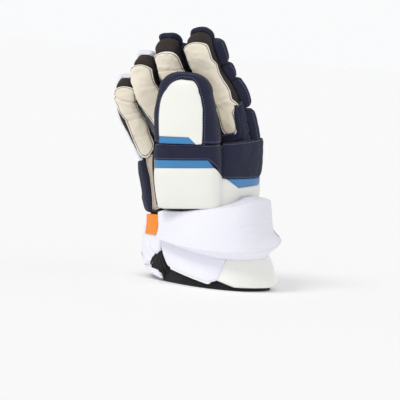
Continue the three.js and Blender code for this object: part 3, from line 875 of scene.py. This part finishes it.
# Padded pieces: name, tube, and then the places and heights. A tuple holds pairs of share and value
PADS = [
    ("thumb_leather", "thumb", "cream", dict(start=176, end=250, left=0.06, right=0.44, high=3.6,
     edge=3.4)),
    ("thumb_shell", "thumb", "navy", dict(start=[182.2, 181.2, 179.8, 177.8, 176.4, 176], end=259.5,
     left=0.46, right=1.05, low=2, high=8, edge=5.8, power=7)),
    ("thumb_shell_stripe", "thumb", "blue", dict(start=((0, 179.4), (1, 176.2)), end=((0, 187.1), (1,
     184.9)), left=((0, 0.67), (1, 0.705)), right=0.873, low=8.2, high=9.9, edge=9.7)),
    ("thumb_shell_panel", "thumb", "white_vinyl", dict(start=((0, 180.5), (0.138, 179.4), (0.289, 187.1),
     (1, 184.9)), end=((0, 251), (0.5, 251.2), (1, 246.9)), left=((0, 0.638), (0.3, 0.62), (0.6, 0.606),
     (0.8, 0.61), (1, 0.632)), right=((0, 0.872), (1, 0.88)), low=8.2, high=10.6, edge=9.7)),
    ("thumb_base_band", "thumb", "navy", dict(start=((0, 139.6), (0.033, 139.6), (0.269, 161.4), (0.837,
     155.1), (1, 154)), end=((0, 181.5), (0.4, 179.2), (0.874, 175.2), (1, 174)), left=0.46, right=1.0,
     high=8, edge=5)),
    ("thumb_base_stripe", "thumb", "blue", dict(start=((0, 152.4), (0.794, 145), (1, 144)), end=((0, 161.4),
     (0.794, 155.1), (1, 154)), left=((0, 0.573), (1, 0.605)), right=1.0, high=5.8, edge=5)),
    ("thumb_base_panel", "thumb", "white_vinyl", dict(start=((0, 101), (0.37, 99.8), (0.85, 95), (1, 95)),
     end=((0, 139.6), (0.033, 139.6), (0.209, 152.4), (0.837, 145), (1, 144)), left=0.46, right=1.0, high=8,
     edge=5)),
    ("side_panel", "web", "navy", dict(start=((0, 143), (0.25, 143), (0.365, 140.5), (1, 139.6)), end=((0,
     191), (0.3, 190), (0.55, 187), (1, 182)), left=-0.06, right=0.46, low=2, high=8, edge=5)),
    ("side_stripe", "web", "blue", dict(start=((0, 135), (0.35, 134), (0.493, 131.9), (1, 128.3)), end=((0,
     143), (0.27, 143), (0.4, 140.5), (1, 138.9)), left=-0.06, right=((0, 0.315), (1, 0.415)), low=2,
     high=5.8, edge=5)),
    ("side_guard", "web", "white_vinyl", dict(start=((0, 108), (0.663, 106), (1, 100)), end=((0, 135),
     (0.25, 134), (0.356, 131.9), (0.721, 128.3), (0.913, 138.9), (1, 139.6)), left=-0.06, right=0.46,
     low=2, high=7, edge=5)),
    ("index_side_pad", "index", "navy", dict(start=0.03, end=((0, 0.96), (0.43, 0.91), (0.47, 0.42), (1,
     0.42)), left=-0.03, right=0.35, low=0.4, high=5.5, edge=3.6)),
    ("palm_leather", "hand", "taupe", dict(start=((0, 114), (0.35, 106), (0.7, 99), (1, 86.5)), end=((0,
     180), (0.35, 172), (0.7, 163), (1, 155)), left=0.1, right=((0, 0.39), (0.32, 0.398), (0.67, 0.407), (1,
     0.425)), high=3.8, edge=3.6)),
    ("heel_patch", "hand", "brown", dict(start=85.5, end=89.3, left=0.346, right=0.396, low=0.5, high=4.5,
     edge=3.6)),
    ("ulnar_panel", "hand", "navy", dict(start=84, end=[150, 147, 147, 150], left=((0, 0.387), (0.35,
     0.395), (0.7, 0.402), (1, 0.422)), right=[0.53, 0.57], low=2, high=8, edge=4.5)),
    ("back_roll_1", "hand", "white_mesh", dict(start=[128, 135], end=[153, 161, 170], left=0.58,
     right=0.735, high=15, edge=8)),
    ("back_roll_2", "hand", "navy", dict(start=[136, 142, 147], end=[172, 180, 186], left=0.745, right=0.92,
     high=16, edge=8)),
    ("back_roll_3", "hand", "navy", dict(start=116, end=[126, 132, 139, 145], left=0.58, right=0.92,
     high=16, edge=8)),
    ("cuff_roll", "hand", "white_mesh", dict(start=[58, 51, 46, 45.5, 46.3, 43.8, 43.4, 48.7, 55], end=((0,
     96), (0.125, 104), (0.25, 111), (0.375, 114), (0.5, 114), (0.53, 117), (0.56, 118.5), (0.618, 117),
     (0.68, 109), (0.752, 103), (0.794, 100.5), (0.847, 97), (0.9, 95), (0.95, 93), (1, 88)), left=-0.455,
     right=((0, 0.302), (0.4, 0.308), (1, 0.325)), high=((0, 12), (0.125, 20), (0.25, 23), (0.375, 23),
     (0.5, 21.5), (0.56, 25), (0.618, 28), (0.68, 30), (0.8, 30), (0.9, 27), (1, 22)), edge=((0, 6), (0.125,
     19), (0.25, 22), (0.5, 21.5), (0.56, 25), (0.68, 30), (0.9, 27), (1, 9)), foot=((0, 6), (0.125, 8),
     (0.375, 9), (0.5, 7), (0.56, 11), (0.62, 15), (0.7, 17), (0.85, 16), (0.95, 11), (1, 6)), low=2.9,
     power=5)),
    ("cuff_panel", "hand", "white_mesh", dict(start=((0, 15.5), (0.2, 10.4), (0.55, 15.5), (1, 21.7)),
     end=((0, 46), (0.33, 47), (0.66, 51), (0.94, 54), (1, 55)), left=((0, 0.11), (1, 0.08)), right=((0,
     0.247), (0.12, 0.265), (0.5, 0.287), (1, 0.312)), low=0.7, high=7.5, edge=5)),
    ("cuff_back_panel", "hand", "white_gloss", dict(start=((0, 16), (0.15, 9.5), (0.5, 8.3), (0.933, 8.3),
     (1, 14.5)), end=((0, 54), (0.2, 50), (0.45, 47), (0.694, 47), (0.8, 47), (0.917, 47), (1, 45)),
     left=-0.46, right=((0, 0.11), (1, 0.08)), low=2, high=[6, 10, 12, 12, 12, 12, 9], edge=5)),
    ("cuff_flap", "hand", "white_mesh", dict(start=((0, 6.5), (0.17, 10), (0.25, 15), (0.45, 20), (1, 24)),
     end=((0, 57), (0.3, 64), (0.45, 80), (1, 82)), left=((0, 0.283), (0.13, 0.291), (0.2, 0.3), (0.215,
     0.333), (0.37, 0.328), (0.55, 0.315), (0.68, 0.302), (1, 0.306)), right=0.53, low=2, high=7.5,
     edge=5)),
    ("label_tab", "hand", "orange", dict(start=((0, 59.5), (1, 57.4)), end=((0, 84.5), (1, 82.5)), left=((0,
     0.325), (1, 0.335)), right=((0, 0.385), (1, 0.4)), low=6.4, high=8.6, edge=8.4)),
]

BACK_ROLL = dict(corner=4, soft=4, fall=0.8, inset=3, pucker=0.5, grow=(1, 1, 1, 1))
STRIPE = dict(corner=0.5, soft=1.0, fall=0.35, lumps=((20, 0.1),), grow=(0.5,) * 4)

# How each piece is sewn: its rounded corners, soft rim, seam and stitches, folds and lumps
LOOKS = {
    "thumb_leather": dict(corner=(16, 16, 5, 5), soft=1.6, fall=0.5, inset=2, thread="cream", puff=1.2,
     creases=((0, 0.5, 1, 0.47, 1.6, 0.7),)),
    "thumb_shell": dict(corner=3, soft=3.0, fall=0.75, inset=3.2, thread="navy", step=1.2, pucker=0.2),
    "thumb_shell_stripe": dict(corner=0.4, soft=0.8, fall=0.5, lumps=((20, 0.1),), step=0.8, padded=1.0),
    "thumb_shell_panel": dict(corner=((6, 9), (18, 26), 0.4, 0.4), soft=1.0, fall=0.5, lumps=((24, 0.15),),
     step=0.9, padded=1.0, grow=(0, 0, 0.3, 0.3)),
    "thumb_base_band": dict(corner=0.8, soft=2.0, fall=0.6, inset=2.2, thread="navy", pucker=0.3,
     grow=(0.5,) * 4, lumps=((14, 0.7), (6, 0.25))),
    "thumb_base_stripe": STRIPE,
    "thumb_base_panel": dict(corner=(0.8, 0.8, 5, 1.5), soft=2.0, fall=0.5, lumps=((30, 0.4), (12, 0.12)),
     grow=(0.5, 0.5, 0.5, 0)),
    "side_panel": dict(corner=(8, 1, 0.8, 0.8), soft=2.0, fall=0.6, inset=2.2, thread="navy", pucker=0.25,
     grow=(0.5,) * 4, lumps=((14, 0.7), (6, 0.25)), creases=((0.37, -0.1, 0.37, 1.1, 0.9, 1.2),)),
    "side_stripe": dict(STRIPE, creases=((0.42, -0.1, 0.42, 1.1, 0.9, 0.6),)),
    "side_guard": dict(corner=0.8, soft=2.0, fall=0.5, lumps=((24, 0.3),), grow=(0.5, 0.5, 0.5, 0),
     creases=((0.37, -0.1, 0.37, 1.1, 1.0, 0.6),)),
    "index_side_pad": dict(corner=(2, 0.8, 2, 2), soft=2.0, fall=0.7, inset=1.8, thread="navy", pucker=0.3,
     step=1.0, lumps=((10, 1.1), (5, 0.4)), creases=((0.02, 0.3, 0.45, 0.12, 1.6, 1.6), (0.0, 0.5, 0.4,
     0.36, 1.2, 1.0))),
    "palm_leather": dict(corner=3, soft=1.5, fall=0.5, inset=2, thread="cream", lumps=((18, 0.9), (7, 0.3)),
     ragged=0.4),
    "heel_patch": dict(corner=1.5, soft=1, fall=0.5, lumps=((6, 0.2),), step=0.8),
    "ulnar_panel": dict(corner=3, soft=3, fall=0.8, inset=2.2, thread="dark", pucker=0.4, lumps=((14, 0.9),
     (6, 0.3))),
    "back_roll_1": dict(BACK_ROLL, thread="white"),
    "back_roll_2": dict(BACK_ROLL, thread="navy"),
    "back_roll_3": dict(BACK_ROLL, thread="navy"),
    "cuff_roll": dict(corner=4, soft=3.5, fall=0.6, pucker=0.35, lumps=((40, 1.0), (14, 0.3)), step=1.2,
     nose=(((0, 0.3), (0.5, 0.31), (0.56, 0.21), (0.62, 0.16), (0.75, 0.15), (0.85, 0.12), (1, 0.08)), ((0,
     3), (0.5, 7.5), (0.62, 3), (0.75, 1.2), (1, 0.3))), grow=(0, 0.5, 1.0, 0.8), creases=((0.56, 0.42,
     0.66, 0.46, 2.2, 0.7), (0.54, 0.6, 0.68, 0.56, 2.4, 0.7))),
    "cuff_panel": dict(corner=(0.6, 3, 2, 0.6), soft=1.8, fall=0.6, inset=2.2, thread="white", lumps=((22,
     0.7), (9, 0.2)), grow=(1.4, 1.5, 0, 0)),
    "cuff_back_panel": dict(corner=(5, 0.8, 2, 6), soft=3.0, fall=0.6, lumps=((40, 0.5), (14, 0.15)),
     step=1.2, grow=(0, 1.5, 1.6, 0)),
    "cuff_flap": dict(corner=(2, 5, 5, 3), soft=2.0, step=0.9, fall=0.7, inset=2.2, thread="white",
     pucker=0.5, lumps=((15, 1.5), (7, 0.5)), creases=((-0.05, 0.5, 0.3, 0.72, 1.8, 1.8), (-0.05, 0.42,
     0.42, 0.5, 1.6, 1.4), (-0.05, 0.3, 0.4, 0.25, 1.8, 1.2), (0.1, 0.1, 0.45, 0.35, 2.0, 1.0))),
    "label_tab": dict(corner=0.6, soft=0.6, fall=0.5, lumps=((14, 0.25),), step=0.6),
}

LEATHER_LOOKS = {
    "index": ((0, 0.655, 1, 0.66, 1.2, 0.35), (0.55, 0.766, 0.55, 0.766, 0.9, 0.9), (0.2, 0.5, 0.9, 0.5, 2,
     0.4), (0.1, 0.3, 0.9, 0.31, 2.2, 0.5)),
    "middle": ((-0.1, 0.72, 0.5, 0.765, 1.0, 1.6), (0.5, 0.765, 1.1, 0.75, 1.0, 1.4), (0.5, 0.8, 0.8, 0.8,
     1.6, -0.9), (0.55, 0.76, 0.55, 0.76, 0.9, 0.9), (0, 0.5, 1, 0.5, 2, 0.5)),
    "ring": ((0.52, 0.735, 0.52, 0.735, 0.8, 0.9), (0.45, 0.59, 0.45, 0.59, 0.8, 0.9), (0, 0.66, 1, 0.65,
     2.2, 0.5), (0, 0.4, 1, 0.42, 2, 0.5), (0.1, 0.3, 0.9, 0.27, 2, 0.4)),
    "little": ((-0.1, 0.7, 0.5, 0.735, 1.0, 2.0), (0.5, 0.735, 1.1, 0.79, 1.0, 1.8), (0, 0.64, 1, 0.75, 1.8,
     -0.9), (0.05, 0.528, 0.95, 0.55, 1.2, 1.0), (0.05, 0.435, 0.9, 0.46, 1.2, 0.8), (0.35, 0.42, 0.35,
     0.42, 0.8, 0.9), (0, 0.2, 1, 0.26, 2.0, 0.6)),
}

# Each finger's leather, by station: first and last station, then its two sides as station and turn
LEATHER_SIDES = {
    "index": (0.33, 3.3, ((0.3, 0.122), (0.6, 0.122), (0.8, 0.132), (0.88, 0.105), (0.93, 0.06), (1.12,
     0.112), (1.35, 0.092), (1.74, 0.086), (2.31, 0.052), (2.5, 0.088), (2.8, 0.085), (3.3, 0.1)), ((0.3,
     0.3), (0.7, 0.3), (1.2, 0.315), (2, 0.32), (2.34, 0.365), (2.51, 0.385), (2.74, 0.4), (3.3, 0.39))),
    "middle": (0.22, 3.07, ((0.2, 0.13), (1.5, 0.08), (2.28, 0.065), (2.71, 0.085), (3.1, 0.09)), ((0.2,
     0.42), (1.9, 0.35), (2.1, 0.345), (2.27, 0.372), (2.44, 0.395), (3.1, 0.38))),
    "ring": (0.22, 3.31, ((0.2, 0.13), (2.1, 0.085), (2.38, 0.105), (3.3, 0.12)), ((0.2, 0.3), (0.96,
     0.338), (1.6, 0.385), (2.09, 0.408), (2.37, 0.427), (2.8, 0.41), (3.3, 0.4))),
    "little": (0.33, 3.31, ((0.3, 0.2), (0.6, 0.12), (1.09, 0.098), (1.34, 0.06), (2.35, 0.083), (3.3,
     0.09)), ((0.3, 0.36), (1.03, 0.333), (1.77, 0.302), (2.27, 0.348), (2.56, 0.387), (3.3, 0.39))),
}


def full_shape(shape):
    """The table's places under the names that a patch reads."""
    named = dict(shape)
    named["from"] = named.pop("start")
    named["to"] = named.pop("end")
    return named


def take_in(obj, slot, *nodes, fill=None):
    """Attaches a piece to the root body and hides the CAD nodes that it stands for. Its slot and fill are
    not used.
    """
    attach(obj, "root")
    if nodes:
        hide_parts(*nodes)
    return obj


def lay(name, mesh, paint, slot, fill=None):
    """A binding, piping or rolled edge."""
    obj = make_object(name, *mesh, PAINTS[paint])
    surface_maps(obj)
    return take_in(obj, slot, fill=fill)


def show(name, patch, paint, step, cutters=(), padded=0.9):
    """Makes a piece's object and lets it stand for its CAD node."""
    points, faces, flat, rim = patch.mesh(step)
    obj = make_object(f"soft_{name}", points, faces, PAINTS[paint], {"UVMap": flat, "Rim": rim})
    if cutters:
        cut(obj, cutters)
    return take_in(obj, paint, name, fill=padded)


def sew(name, parts, colour, paint):
    """One object of stitches or piping."""
    return take_in(make_object(name, *merged(parts), THREADS[colour]), paint)


def seam_rows(patch, runs=("ltrb",), pitch=3.2, **shape):
    """Rows of stitches that follow a patch's outline, in its seam."""
    rows = []
    for u, v in patch.outline(patch.look["inset"], runs):
        rows.append(stitch_row(patch.place(u, v), patch.normals(u, v), pitch, **shape))
    return rows


def build_fingers():
    """Each finger's leather, rolls, cap and hollow tube."""
    for number, finger in enumerate(FINGERS):
        name, fabric, *_, roll, _, _ = finger
        table = FINGER_TUBES[number]
        settle = keep_side(number)
        first, last, *sides = LEATHER_SIDES[name]
        left, right = (tuple(((s - first) / (last - first), turn) for s, turn in side) for side in sides)
        arch = (40, finger[2] * 0.6)
        leather = Patch(
            table,
            {"from": first, "to": last, "left": left, "right": right, "high": 3.7, "edge": 3.7, "low": 1.5},
            dict(corner=(arch, arch, (10, 12), (10, 12)), soft=1.3, fall=0.5, inset=2.3, sink=0.8,
                 puff=1.8, ragged=0.7, lumps=((13, 1.0), (5, 0.5)), creases=LEATHER_LOOKS[name]),
            settle, seed=number + 2,
        )
        show(f"{name}_leather", leather, "cream", 0.9)
        rows = seam_rows(leather, pitch=2.6, length=1.9, radius=0.36)
        sew(f"soft_{name}_leather_seam", rows, "dark", "cream")
        pale = "navy" if fabric == "navy" else "white"
        for k, (start, end, low) in enumerate(FINGER_ROLLS):
            patch = Patch(
                table,
                {"from": start, "to": end, "left": 0.54 if fabric == "navy" else 0.59, "right": 0.96,
                 "low": low, "high": roll, "edge": 8},
                dict(corner=3, soft=3.2, fall=0.75, inset=2.8, sink=0.8, pucker=0.5, puff=0.5,
                     grow=(0, 0.8, 0, 0.8)),
                settle, seed=10 * number + k,
            )
            show(f"{name}_roll_{k + 1}", patch, fabric, 1.2)
            sew(f"soft_{name}_roll_{k + 1}_seam", seam_rows(patch, ("l", "r"), 3.0), pale, fabric)
        cap = Patch(
            table,
            {"from": FINGER_CAP[0], "to": FINGER_CAP[1], "left": 0.6, "right": 0.9, "low": 0.85, "high": 7.5,
             "edge": 3},
            dict(corner=2.5, soft=2.5, fall=0.8, inset=2.2, pucker=0.3),
            settle, seed=40 + number,
        )
        show(f"{name}_cap", cap, fabric, 1.0)
        sew(f"soft_{name}_cap_seam", seam_rows(cap, ("rbl",), 3.0), pale, fabric)
        build_stall(name, table, 60 + number)


def build_stall(name, table, seed, point=RIM_POINT, normal=RIM_NORMAL, wall=STALL_WALL):
    """A hollow tube of knit, open where it meets the hand."""
    stations = np.linspace(0, table["last"] + 1, 500)
    turns = np.linspace(0, 1, STALL_SIDES + 1)
    s, t = np.meshgrid(stations, turns, indexing="ij")
    level = ((tube_points(table, s, t, 0.0) - point) @ normal) - GAP
    first = np.array([np.interp(0, level[:, j], stations) for j in range(STALL_SIDES + 1)])
    share = np.linspace(0, 1, STALL_STEPS + 1)[:, None]
    s = first[None, :] + share * (table["last"] + 1 - first[None, :])
    t = np.broadcast_to(turns[None, :], s.shape)
    rough = noise(tube_points(table, s, t, 0.0), 9, seed) * 0.35
    outer = tube_points(table, s, t, rough * np.clip(share * 20, 0, 1))
    inner = tube_points(table, s, t, -wall)
    outer, inner = (np.concatenate([side, side[-1:] * 0 + side[-1].mean(0)]) for side in (outer, inner))
    s, t = np.concatenate([s, s[-1:]]), np.concatenate([t, t[-1:]])
    share = np.concatenate([share, share[-1:]])
    points = np.concatenate([outer.reshape(-1, 3), inner.reshape(-1, 3)])
    at = np.arange(outer[..., 0].size).reshape(s.shape)
    under = at + at.size
    mouth = np.stack([under[0, 1:], under[0, :-1], at[0, :-1], at[0, 1:]], -1)
    quads = [*grid_quads(at), mouth]
    length = np.linalg.norm(np.diff(table["z"])) + 100
    flat = np.stack([t * 90, share * length + 0 * t], -1).reshape(-1, 2)
    rim = np.full((len(flat), 2), FAR_FROM_RIM)
    maps = {"UVMap": np.tile(flat, (2, 1)), "Rim": np.tile(rim, (2, 1))}
    obj = make_object(f"soft_{name}_stall", points, np.concatenate(quads), PAINTS["brown"], maps)
    take_in(obj, "brown", f"{name}_stall", fill=1.0)


def build_shell_row(panel):
    """The row of stitches in the shell's fabric just outside the panel."""
    rows = []
    for u, v in panel.outline(-3.0, ("ltr",)):
        rows.append(stitch_row(panel.raw(u, v, 8.05), panel.normals(u, v), 3.4, length=2.3, radius=0.4))
    sew("soft_thumb_shell_row", rows, "navy", "navy")


def build_cuff_binding(panel):
    """The pale binding along the lower edge of the cuff's panel."""
    u = np.linspace(0.16, 1.0, 120)
    v = np.full_like(u, 0.012)
    line = panel.raw(u, v, 5.2)
    lay("soft_cuff_panel_binding", rope(line, panel.normals(u, v), 1.3, 8), "white_gloss", "white_mesh")


def build_roll_piping(roll):
    """The thin dark piping down the side of the cuff's roll."""
    v = np.linspace(0.36, 0.97, 90)
    u = np.linspace(0.5, 0.492, 90)
    sew("soft_cuff_roll_piping", [rope(roll.place(u, v), roll.normals(u, v), 0.55, 8)], "dark", "white_mesh")


# The folds in the cuff's notch spread from one place: each one's end as station and turn, and its thickness
PLEAT_ROOT = (1.97, 0.307)
PLEATS = (
    (1.2, 0.345, 2.6), (1.18, 0.334, 2.9), (1.14, 0.322, 3.0), (1.08, 0.309, 3.0), (1.0, 0.296, 2.6),
    (0.95, 0.281, 2.2), (1.1, 0.267, 1.8),
)


def build_pleats():
    """The gathered folds of lining in the notch of the cuff."""
    parts = []
    first_station, first_turn = PLEAT_ROOT
    for number, (station, turn, size) in enumerate(PLEATS):
        share = np.linspace(0, 1, 60)
        stations = first_station + (station - first_station) * share
        turns = first_turn + (turn - first_turn) * share**0.9
        line = tube_points(HAND, stations, turns, 1.5 + 1.8 * np.sin(math.pi * share))
        out = unit(tube_points(HAND, stations, turns, 6.0) - line)
        line = line + 0.8 * noise(line, 5, number)[:, None] * out
        swell = size * (0.35 + 0.65 * np.sin(math.pi * (0.08 + 0.8 * share)))
        swell = swell + 0.5 * noise(line, 3.5, number + 9)
        parts.append(rope(line, out, swell, 12))
    lay("soft_liner_pleats", merged(parts), "black_mesh", "black_mesh", fill=0.4)


# The piping at the thumb's base: its lowest and highest level, turn, height over the tube and radius
PIPING_LEVELS = (99, 176)
PIPING_TURN, PIPING_HEIGHT, PIPING_RADIUS = 0.942, 7.2, 1.2


def build_side_piping():
    """The dark piping down the little finger side of the thumb's base."""
    stations = station_at(THUMB, np.linspace(*PIPING_LEVELS, 120))
    line = tube_points(THUMB, stations, PIPING_TURN, PIPING_HEIGHT)
    out = unit(tube_points(THUMB, stations, PIPING_TURN, 10.0) - line)
    lay("soft_thumb_base_piping", rope(line, out, PIPING_RADIUS, 10), "navy", "navy")


# The rolled edge's course round the index finger, from the palm side round its foot
SADDLE_STATIONS = [0.95, 0.7, 0.46, 0.27, 0.22, 0.3, 0.5, 0.8]
SADDLE_TURNS = [0.1, 0.112, 0.118, 0.15, 0.22, 0.3, 0.325, 0.33]


def build_saddle():
    """The rolled edge of fabric round the lower end of the index finger's leather."""
    table = FINGER_TUBES[0]
    place = np.linspace(0, len(SADDLE_TURNS) - 1, 160)
    stations, turns = smooth(SADDLE_STATIONS, place), smooth(SADDLE_TURNS, place)
    line = tube_points(table, stations, turns, 4.6)
    out = unit(tube_points(table, stations, turns, 6.0) - line)
    size = 2.3 + 0.25 * noise(line, 5, 3)
    lay("soft_index_side_pad_edge", rope(line, out, size, 12), "navy", "navy", fill=0.9)


PAD_TRIMS = {
    "thumb_shell_panel": build_shell_row,
    "cuff_panel": build_cuff_binding,
    "cuff_roll": build_roll_piping,
}


def build_pads():
    """Every pad of the hand, thumb and cuff, with its stitches and trims."""
    tables = {"hand": HAND, "web": WEB, "thumb": THUMB, "index": FINGER_TUBES[0]}
    lining = PAINTS["black_mesh"]
    web_stations, thumb_stations = np.linspace(0, 3, 25), np.linspace(0, 6, 49)
    hand_stations = np.linspace(0, 7, 57)
    cores = {
        "web": bulk("core_web", WEB, web_stations, GAP, TUBE_SIDES, lining),
        "wide_web": bulk("core_wide_web", WEB, web_stations, 9.0, TUBE_SIDES, lining),
        "thumb": bulk("core_thumb", THUMB, thumb_stations, GAP, TUBE_SIDES, lining),
        "hand": bulk("core_hand", HAND, hand_stations, GAP, HAND_SIDES, lining),
    }
    for seed, (name, where, paint, shape) in enumerate(PADS):
        look = LOOKS[name]
        settle = None
        cutters = []
        if name.startswith("thumb_base"):
            settle = keep_beyond(-SEAM_NORMAL, SEAM_POINT, -0.4)
            cutters = [cores["web"]]
        elif where == "web":
            settle = keep_beyond(SEAM_NORMAL, SEAM_POINT, -0.4)
            cutters = [cores["hand"]]
        elif name in ("back_roll_2", "back_roll_3"):
            cutters = [cores["wide_web"]]
        elif name in ("cuff_roll", "palm_leather"):
            cutters = [cores["web"], cores["thumb"]]
        patch = Patch(tables[where], full_shape(shape), look, settle, seed=70 + seed)
        show(name, patch, paint, look.get("step", 1.2), cutters, look.get("padded", 0.9))
        if "thread" in look:
            sew(f"soft_{name}_seam", seam_rows(patch), look["thread"], paint)
        if name in PAD_TRIMS:
            PAD_TRIMS[name](patch)
    drop(cores.values())
    build_saddle()
    build_pleats()
    build_side_piping()


def trim(obj, point, normal):
    """Cuts an object by a plane, keeps the side that the normal points to and closes the cut."""
    mesh = bmesh.new()
    mesh.from_mesh(obj.data)
    origin = Vector(to_row(np.asarray(point, float)))
    everything = mesh.verts[:] + mesh.edges[:] + mesh.faces[:]
    found = bmesh.ops.bisect_plane(
        mesh, geom=everything, plane_co=origin, plane_no=Vector(normal), clear_inner=True, dist=1e-7
    )
    edges = [g for g in found["geom_cut"] if isinstance(g, bmesh.types.BMEdge)]
    bmesh.ops.holes_fill(mesh, edges=edges, sides=0)
    mesh.to_mesh(obj.data)
    mesh.free()
    return obj


def along_rim(distance):
    """A point on the plane of the finger openings, moved up by a distance."""
    return RIM_POINT + RIM_NORMAL * distance


def build_liner():
    """The lining and skin of the hand and cuff: an outer form less the hollow and the finger holes."""
    paint = PAINTS["black_mesh"]
    low_web, low_thumb, hand = np.linspace(0, 3, 31), np.linspace(0, 4, 41), np.linspace(0, 7, 85)
    forms = []
    for height, top, thumb_top in ((0.0, 0.0, 0.0), (-LINER_WALL, -LINER_WALL, 1.0)):
        body = bulk("form_hand", HAND, hand, height, LINER_SIDES, paint)
        trim(body, along_rim(top), -RIM_NORMAL)
        web = bulk("form_web", WEB, low_web, height, TUBE_SIDES, paint)
        trim(web, along_rim(top), -RIM_NORMAL)
        thumb = bulk("form_thumb", THUMB, low_thumb, height, TUBE_SIDES, paint)
        trim(thumb, (0, 0, THUMB_LEVEL + thumb_top), (0, 0, -1))
        cut(body, [web, thumb], "UNION")
        drop([web, thumb])
        forms.append(body)
    liner, hollow = forms
    trim(liner, (0, 0, HEM_LEVEL), (0, 0, 1))
    trim(liner, RAISED_HEM_POINT, RAISED_HEM_NORMAL)
    holes = []
    for table in FINGER_TUBES:
        hole = bulk("form_finger", table, np.linspace(0, 4, 33), -STALL_WALL, FINGER_HOLE_SIDES, paint)
        trim(hole, along_rim(-2 * LINER_WALL), RIM_NORMAL)
        holes.append(hole)
    cut(liner, [hollow, *holes])
    drop([hollow, *holes])
    liner.name = "soft_liner"
    surface_maps(liner)
    take_in(liner, "black_mesh", "cuff_liner", "liner", "knuckle_liner", fill=0.9)


def hem_line(height, above, count=400):
    """Places round the hem, at a height over the liner and a distance above its lower edge."""
    turns = np.linspace(0, 1, count, endpoint=False)
    levels = np.linspace(HEM_LEVEL, 60, 240)
    s, t = np.meshgrid(station_at(HAND, levels), turns, indexing="ij")
    points = tube_points(HAND, s, t, height)
    over = (points - RAISED_HEM_POINT) @ RAISED_HEM_NORMAL
    first = np.array([np.interp(0, over[:, j], levels) for j in range(count)])
    level = np.maximum(first, HEM_LEVEL) + above
    base = tube_points(HAND, station_at(HAND, level), turns, height)
    out = unit(tube_points(HAND, station_at(HAND, level), turns, height + 1) - base)
    return base, out


def build_hem():
    """The binding rolled over the hem, and the stitches that hold it."""
    base, out = hem_line(-LINER_WALL / 2, 2.0)
    lay("soft_hem_binding", rope(base, out, 2.0, 10, closed=True), "black_mesh", "black_mesh")
    base, out = hem_line(0.1, 5.5)
    sew("soft_hem_seam", [stitch_row(base, out, 3.4, radius=0.35)], "dark", "black_mesh")


def material_plain(name, colour, rough, glow=0.0):
    """A matt paint that glows a little."""
    p = Paint(name)
    cloud = p.spots(3.0, 2.0)
    mixed = p.mix(p.times(cloud, 0.1), colour, tuple(c * 0.99 for c in colour))
    p.set(p.shader.inputs["Emission Color"], (1.0, 1.0, 1.0))
    return p.finish(mixed, rough, p.bump(cloud, 0.02, 0.001), Emission_Strength=glow)


def build_floor():
    """A pale floor that fades into the distance."""
    points, faces = [(0, 0, 0)], []
    for radius in FLOOR_RINGS:
        for k in range(FLOOR_SIDES):
            a = 2 * math.pi * k / FLOOR_SIDES
            points.append((radius * math.cos(a), radius * math.sin(a), 0))
    for k in range(FLOOR_SIDES):
        n = (k + 1) % FLOOR_SIDES
        faces.append((0, 1 + k, 1 + n))
        for r in range(len(FLOOR_RINGS) - 1):
            a, b = 1 + r * FLOOR_SIDES, 1 + (r + 1) * FLOOR_SIDES
            faces.append((a + k, b + k, b + n, a + n))
    mesh = bpy.data.meshes.new("floor")
    mesh.from_pydata(points, [], faces)
    mesh.materials.append(material_plain("pale_floor", (0.9, 0.9, 0.9), 0.9, 0.16))
    floor = bpy.data.objects.new("floor", mesh)
    floor.location.z = FLOOR_LEVEL
    bpy.context.scene.collection.objects.link(floor)


def build_light():
    """A sky that dims upwards, and a broad sun."""
    world = bpy.data.worlds.new("studio")
    bpy.context.scene.world = world
    world.use_nodes = True
    nodes, links = world.node_tree.nodes, world.node_tree.links
    split = nodes.new("ShaderNodeSeparateXYZ")
    links.new(nodes.new("ShaderNodeTexCoord").outputs["Generated"], split.inputs[0])
    fade = nodes.new("ShaderNodeMapRange")
    links.new(split.outputs[2], fade.inputs["Value"])
    for key, value in (("From Min", 0.05), ("From Max", 0.9), ("To Min", 0.97), ("To Max", 0.5)):
        fade.inputs[key].default_value = value
    sky = nodes["Background"]
    sky.inputs["Color"].default_value = (0.985, 0.99, 1.0, 1)
    links.new(fade.outputs[0], sky.inputs["Strength"])
    sun = bpy.data.lights.new("key", "SUN")
    sun.energy = 1.05
    sun.angle = math.radians(22)
    sun.color = (1.0, 0.99, 0.97)
    lamp = bpy.data.objects.new("key", sun)
    lamp.rotation_euler = Vector((0.55, 0.62, -0.95)).to_track_quat("-Z", "Y").to_euler()
    bpy.context.scene.collection.objects.link(lamp)


def build_camera():
    """The camera at the photograph's angle."""
    level_up = Vector((0, math.sin(CAMERA_RISE), math.cos(CAMERA_RISE)))
    right = Vector((1, 0, 0)) * math.cos(CAMERA_ROLL) + level_up * math.sin(CAMERA_ROLL)
    up = Vector((-1, 0, 0)) * math.sin(CAMERA_ROLL) + level_up * math.cos(CAMERA_ROLL)
    back = Vector((0, -math.cos(CAMERA_RISE), math.sin(CAMERA_RISE)))
    target = Vector((-BASE_CENTRE[0] / 1000, -BASE_CENTRE[1] / 1000, TARGET_HEIGHT))
    camera_data = bpy.data.cameras.new("camera")
    camera_data.sensor_width = SENSOR_WIDTH
    camera_data.lens = SENSOR_WIDTH * CAMERA_DISTANCE / PICTURE_WIDTH
    camera_data.clip_end = 100
    camera = bpy.data.objects.new("camera", camera_data)
    turn = Matrix((right, up, back)).transposed().to_4x4()
    camera.matrix_world = Matrix.Translation(target + back * CAMERA_DISTANCE) @ turn
    bpy.context.scene.collection.objects.link(camera)
    bpy.context.scene.camera = camera
    bpy.context.scene.view_settings.view_transform = "Standard"


build_fingers()
build_stall("thumb", THUMB, 66, np.array([0.0, 0.0, THUMB_LEVEL]), np.array([0.0, 0.0, 1.0]), LINER_WALL)
build_pads()
build_liner()
build_hem()
build_floor()
build_light()
build_camera()
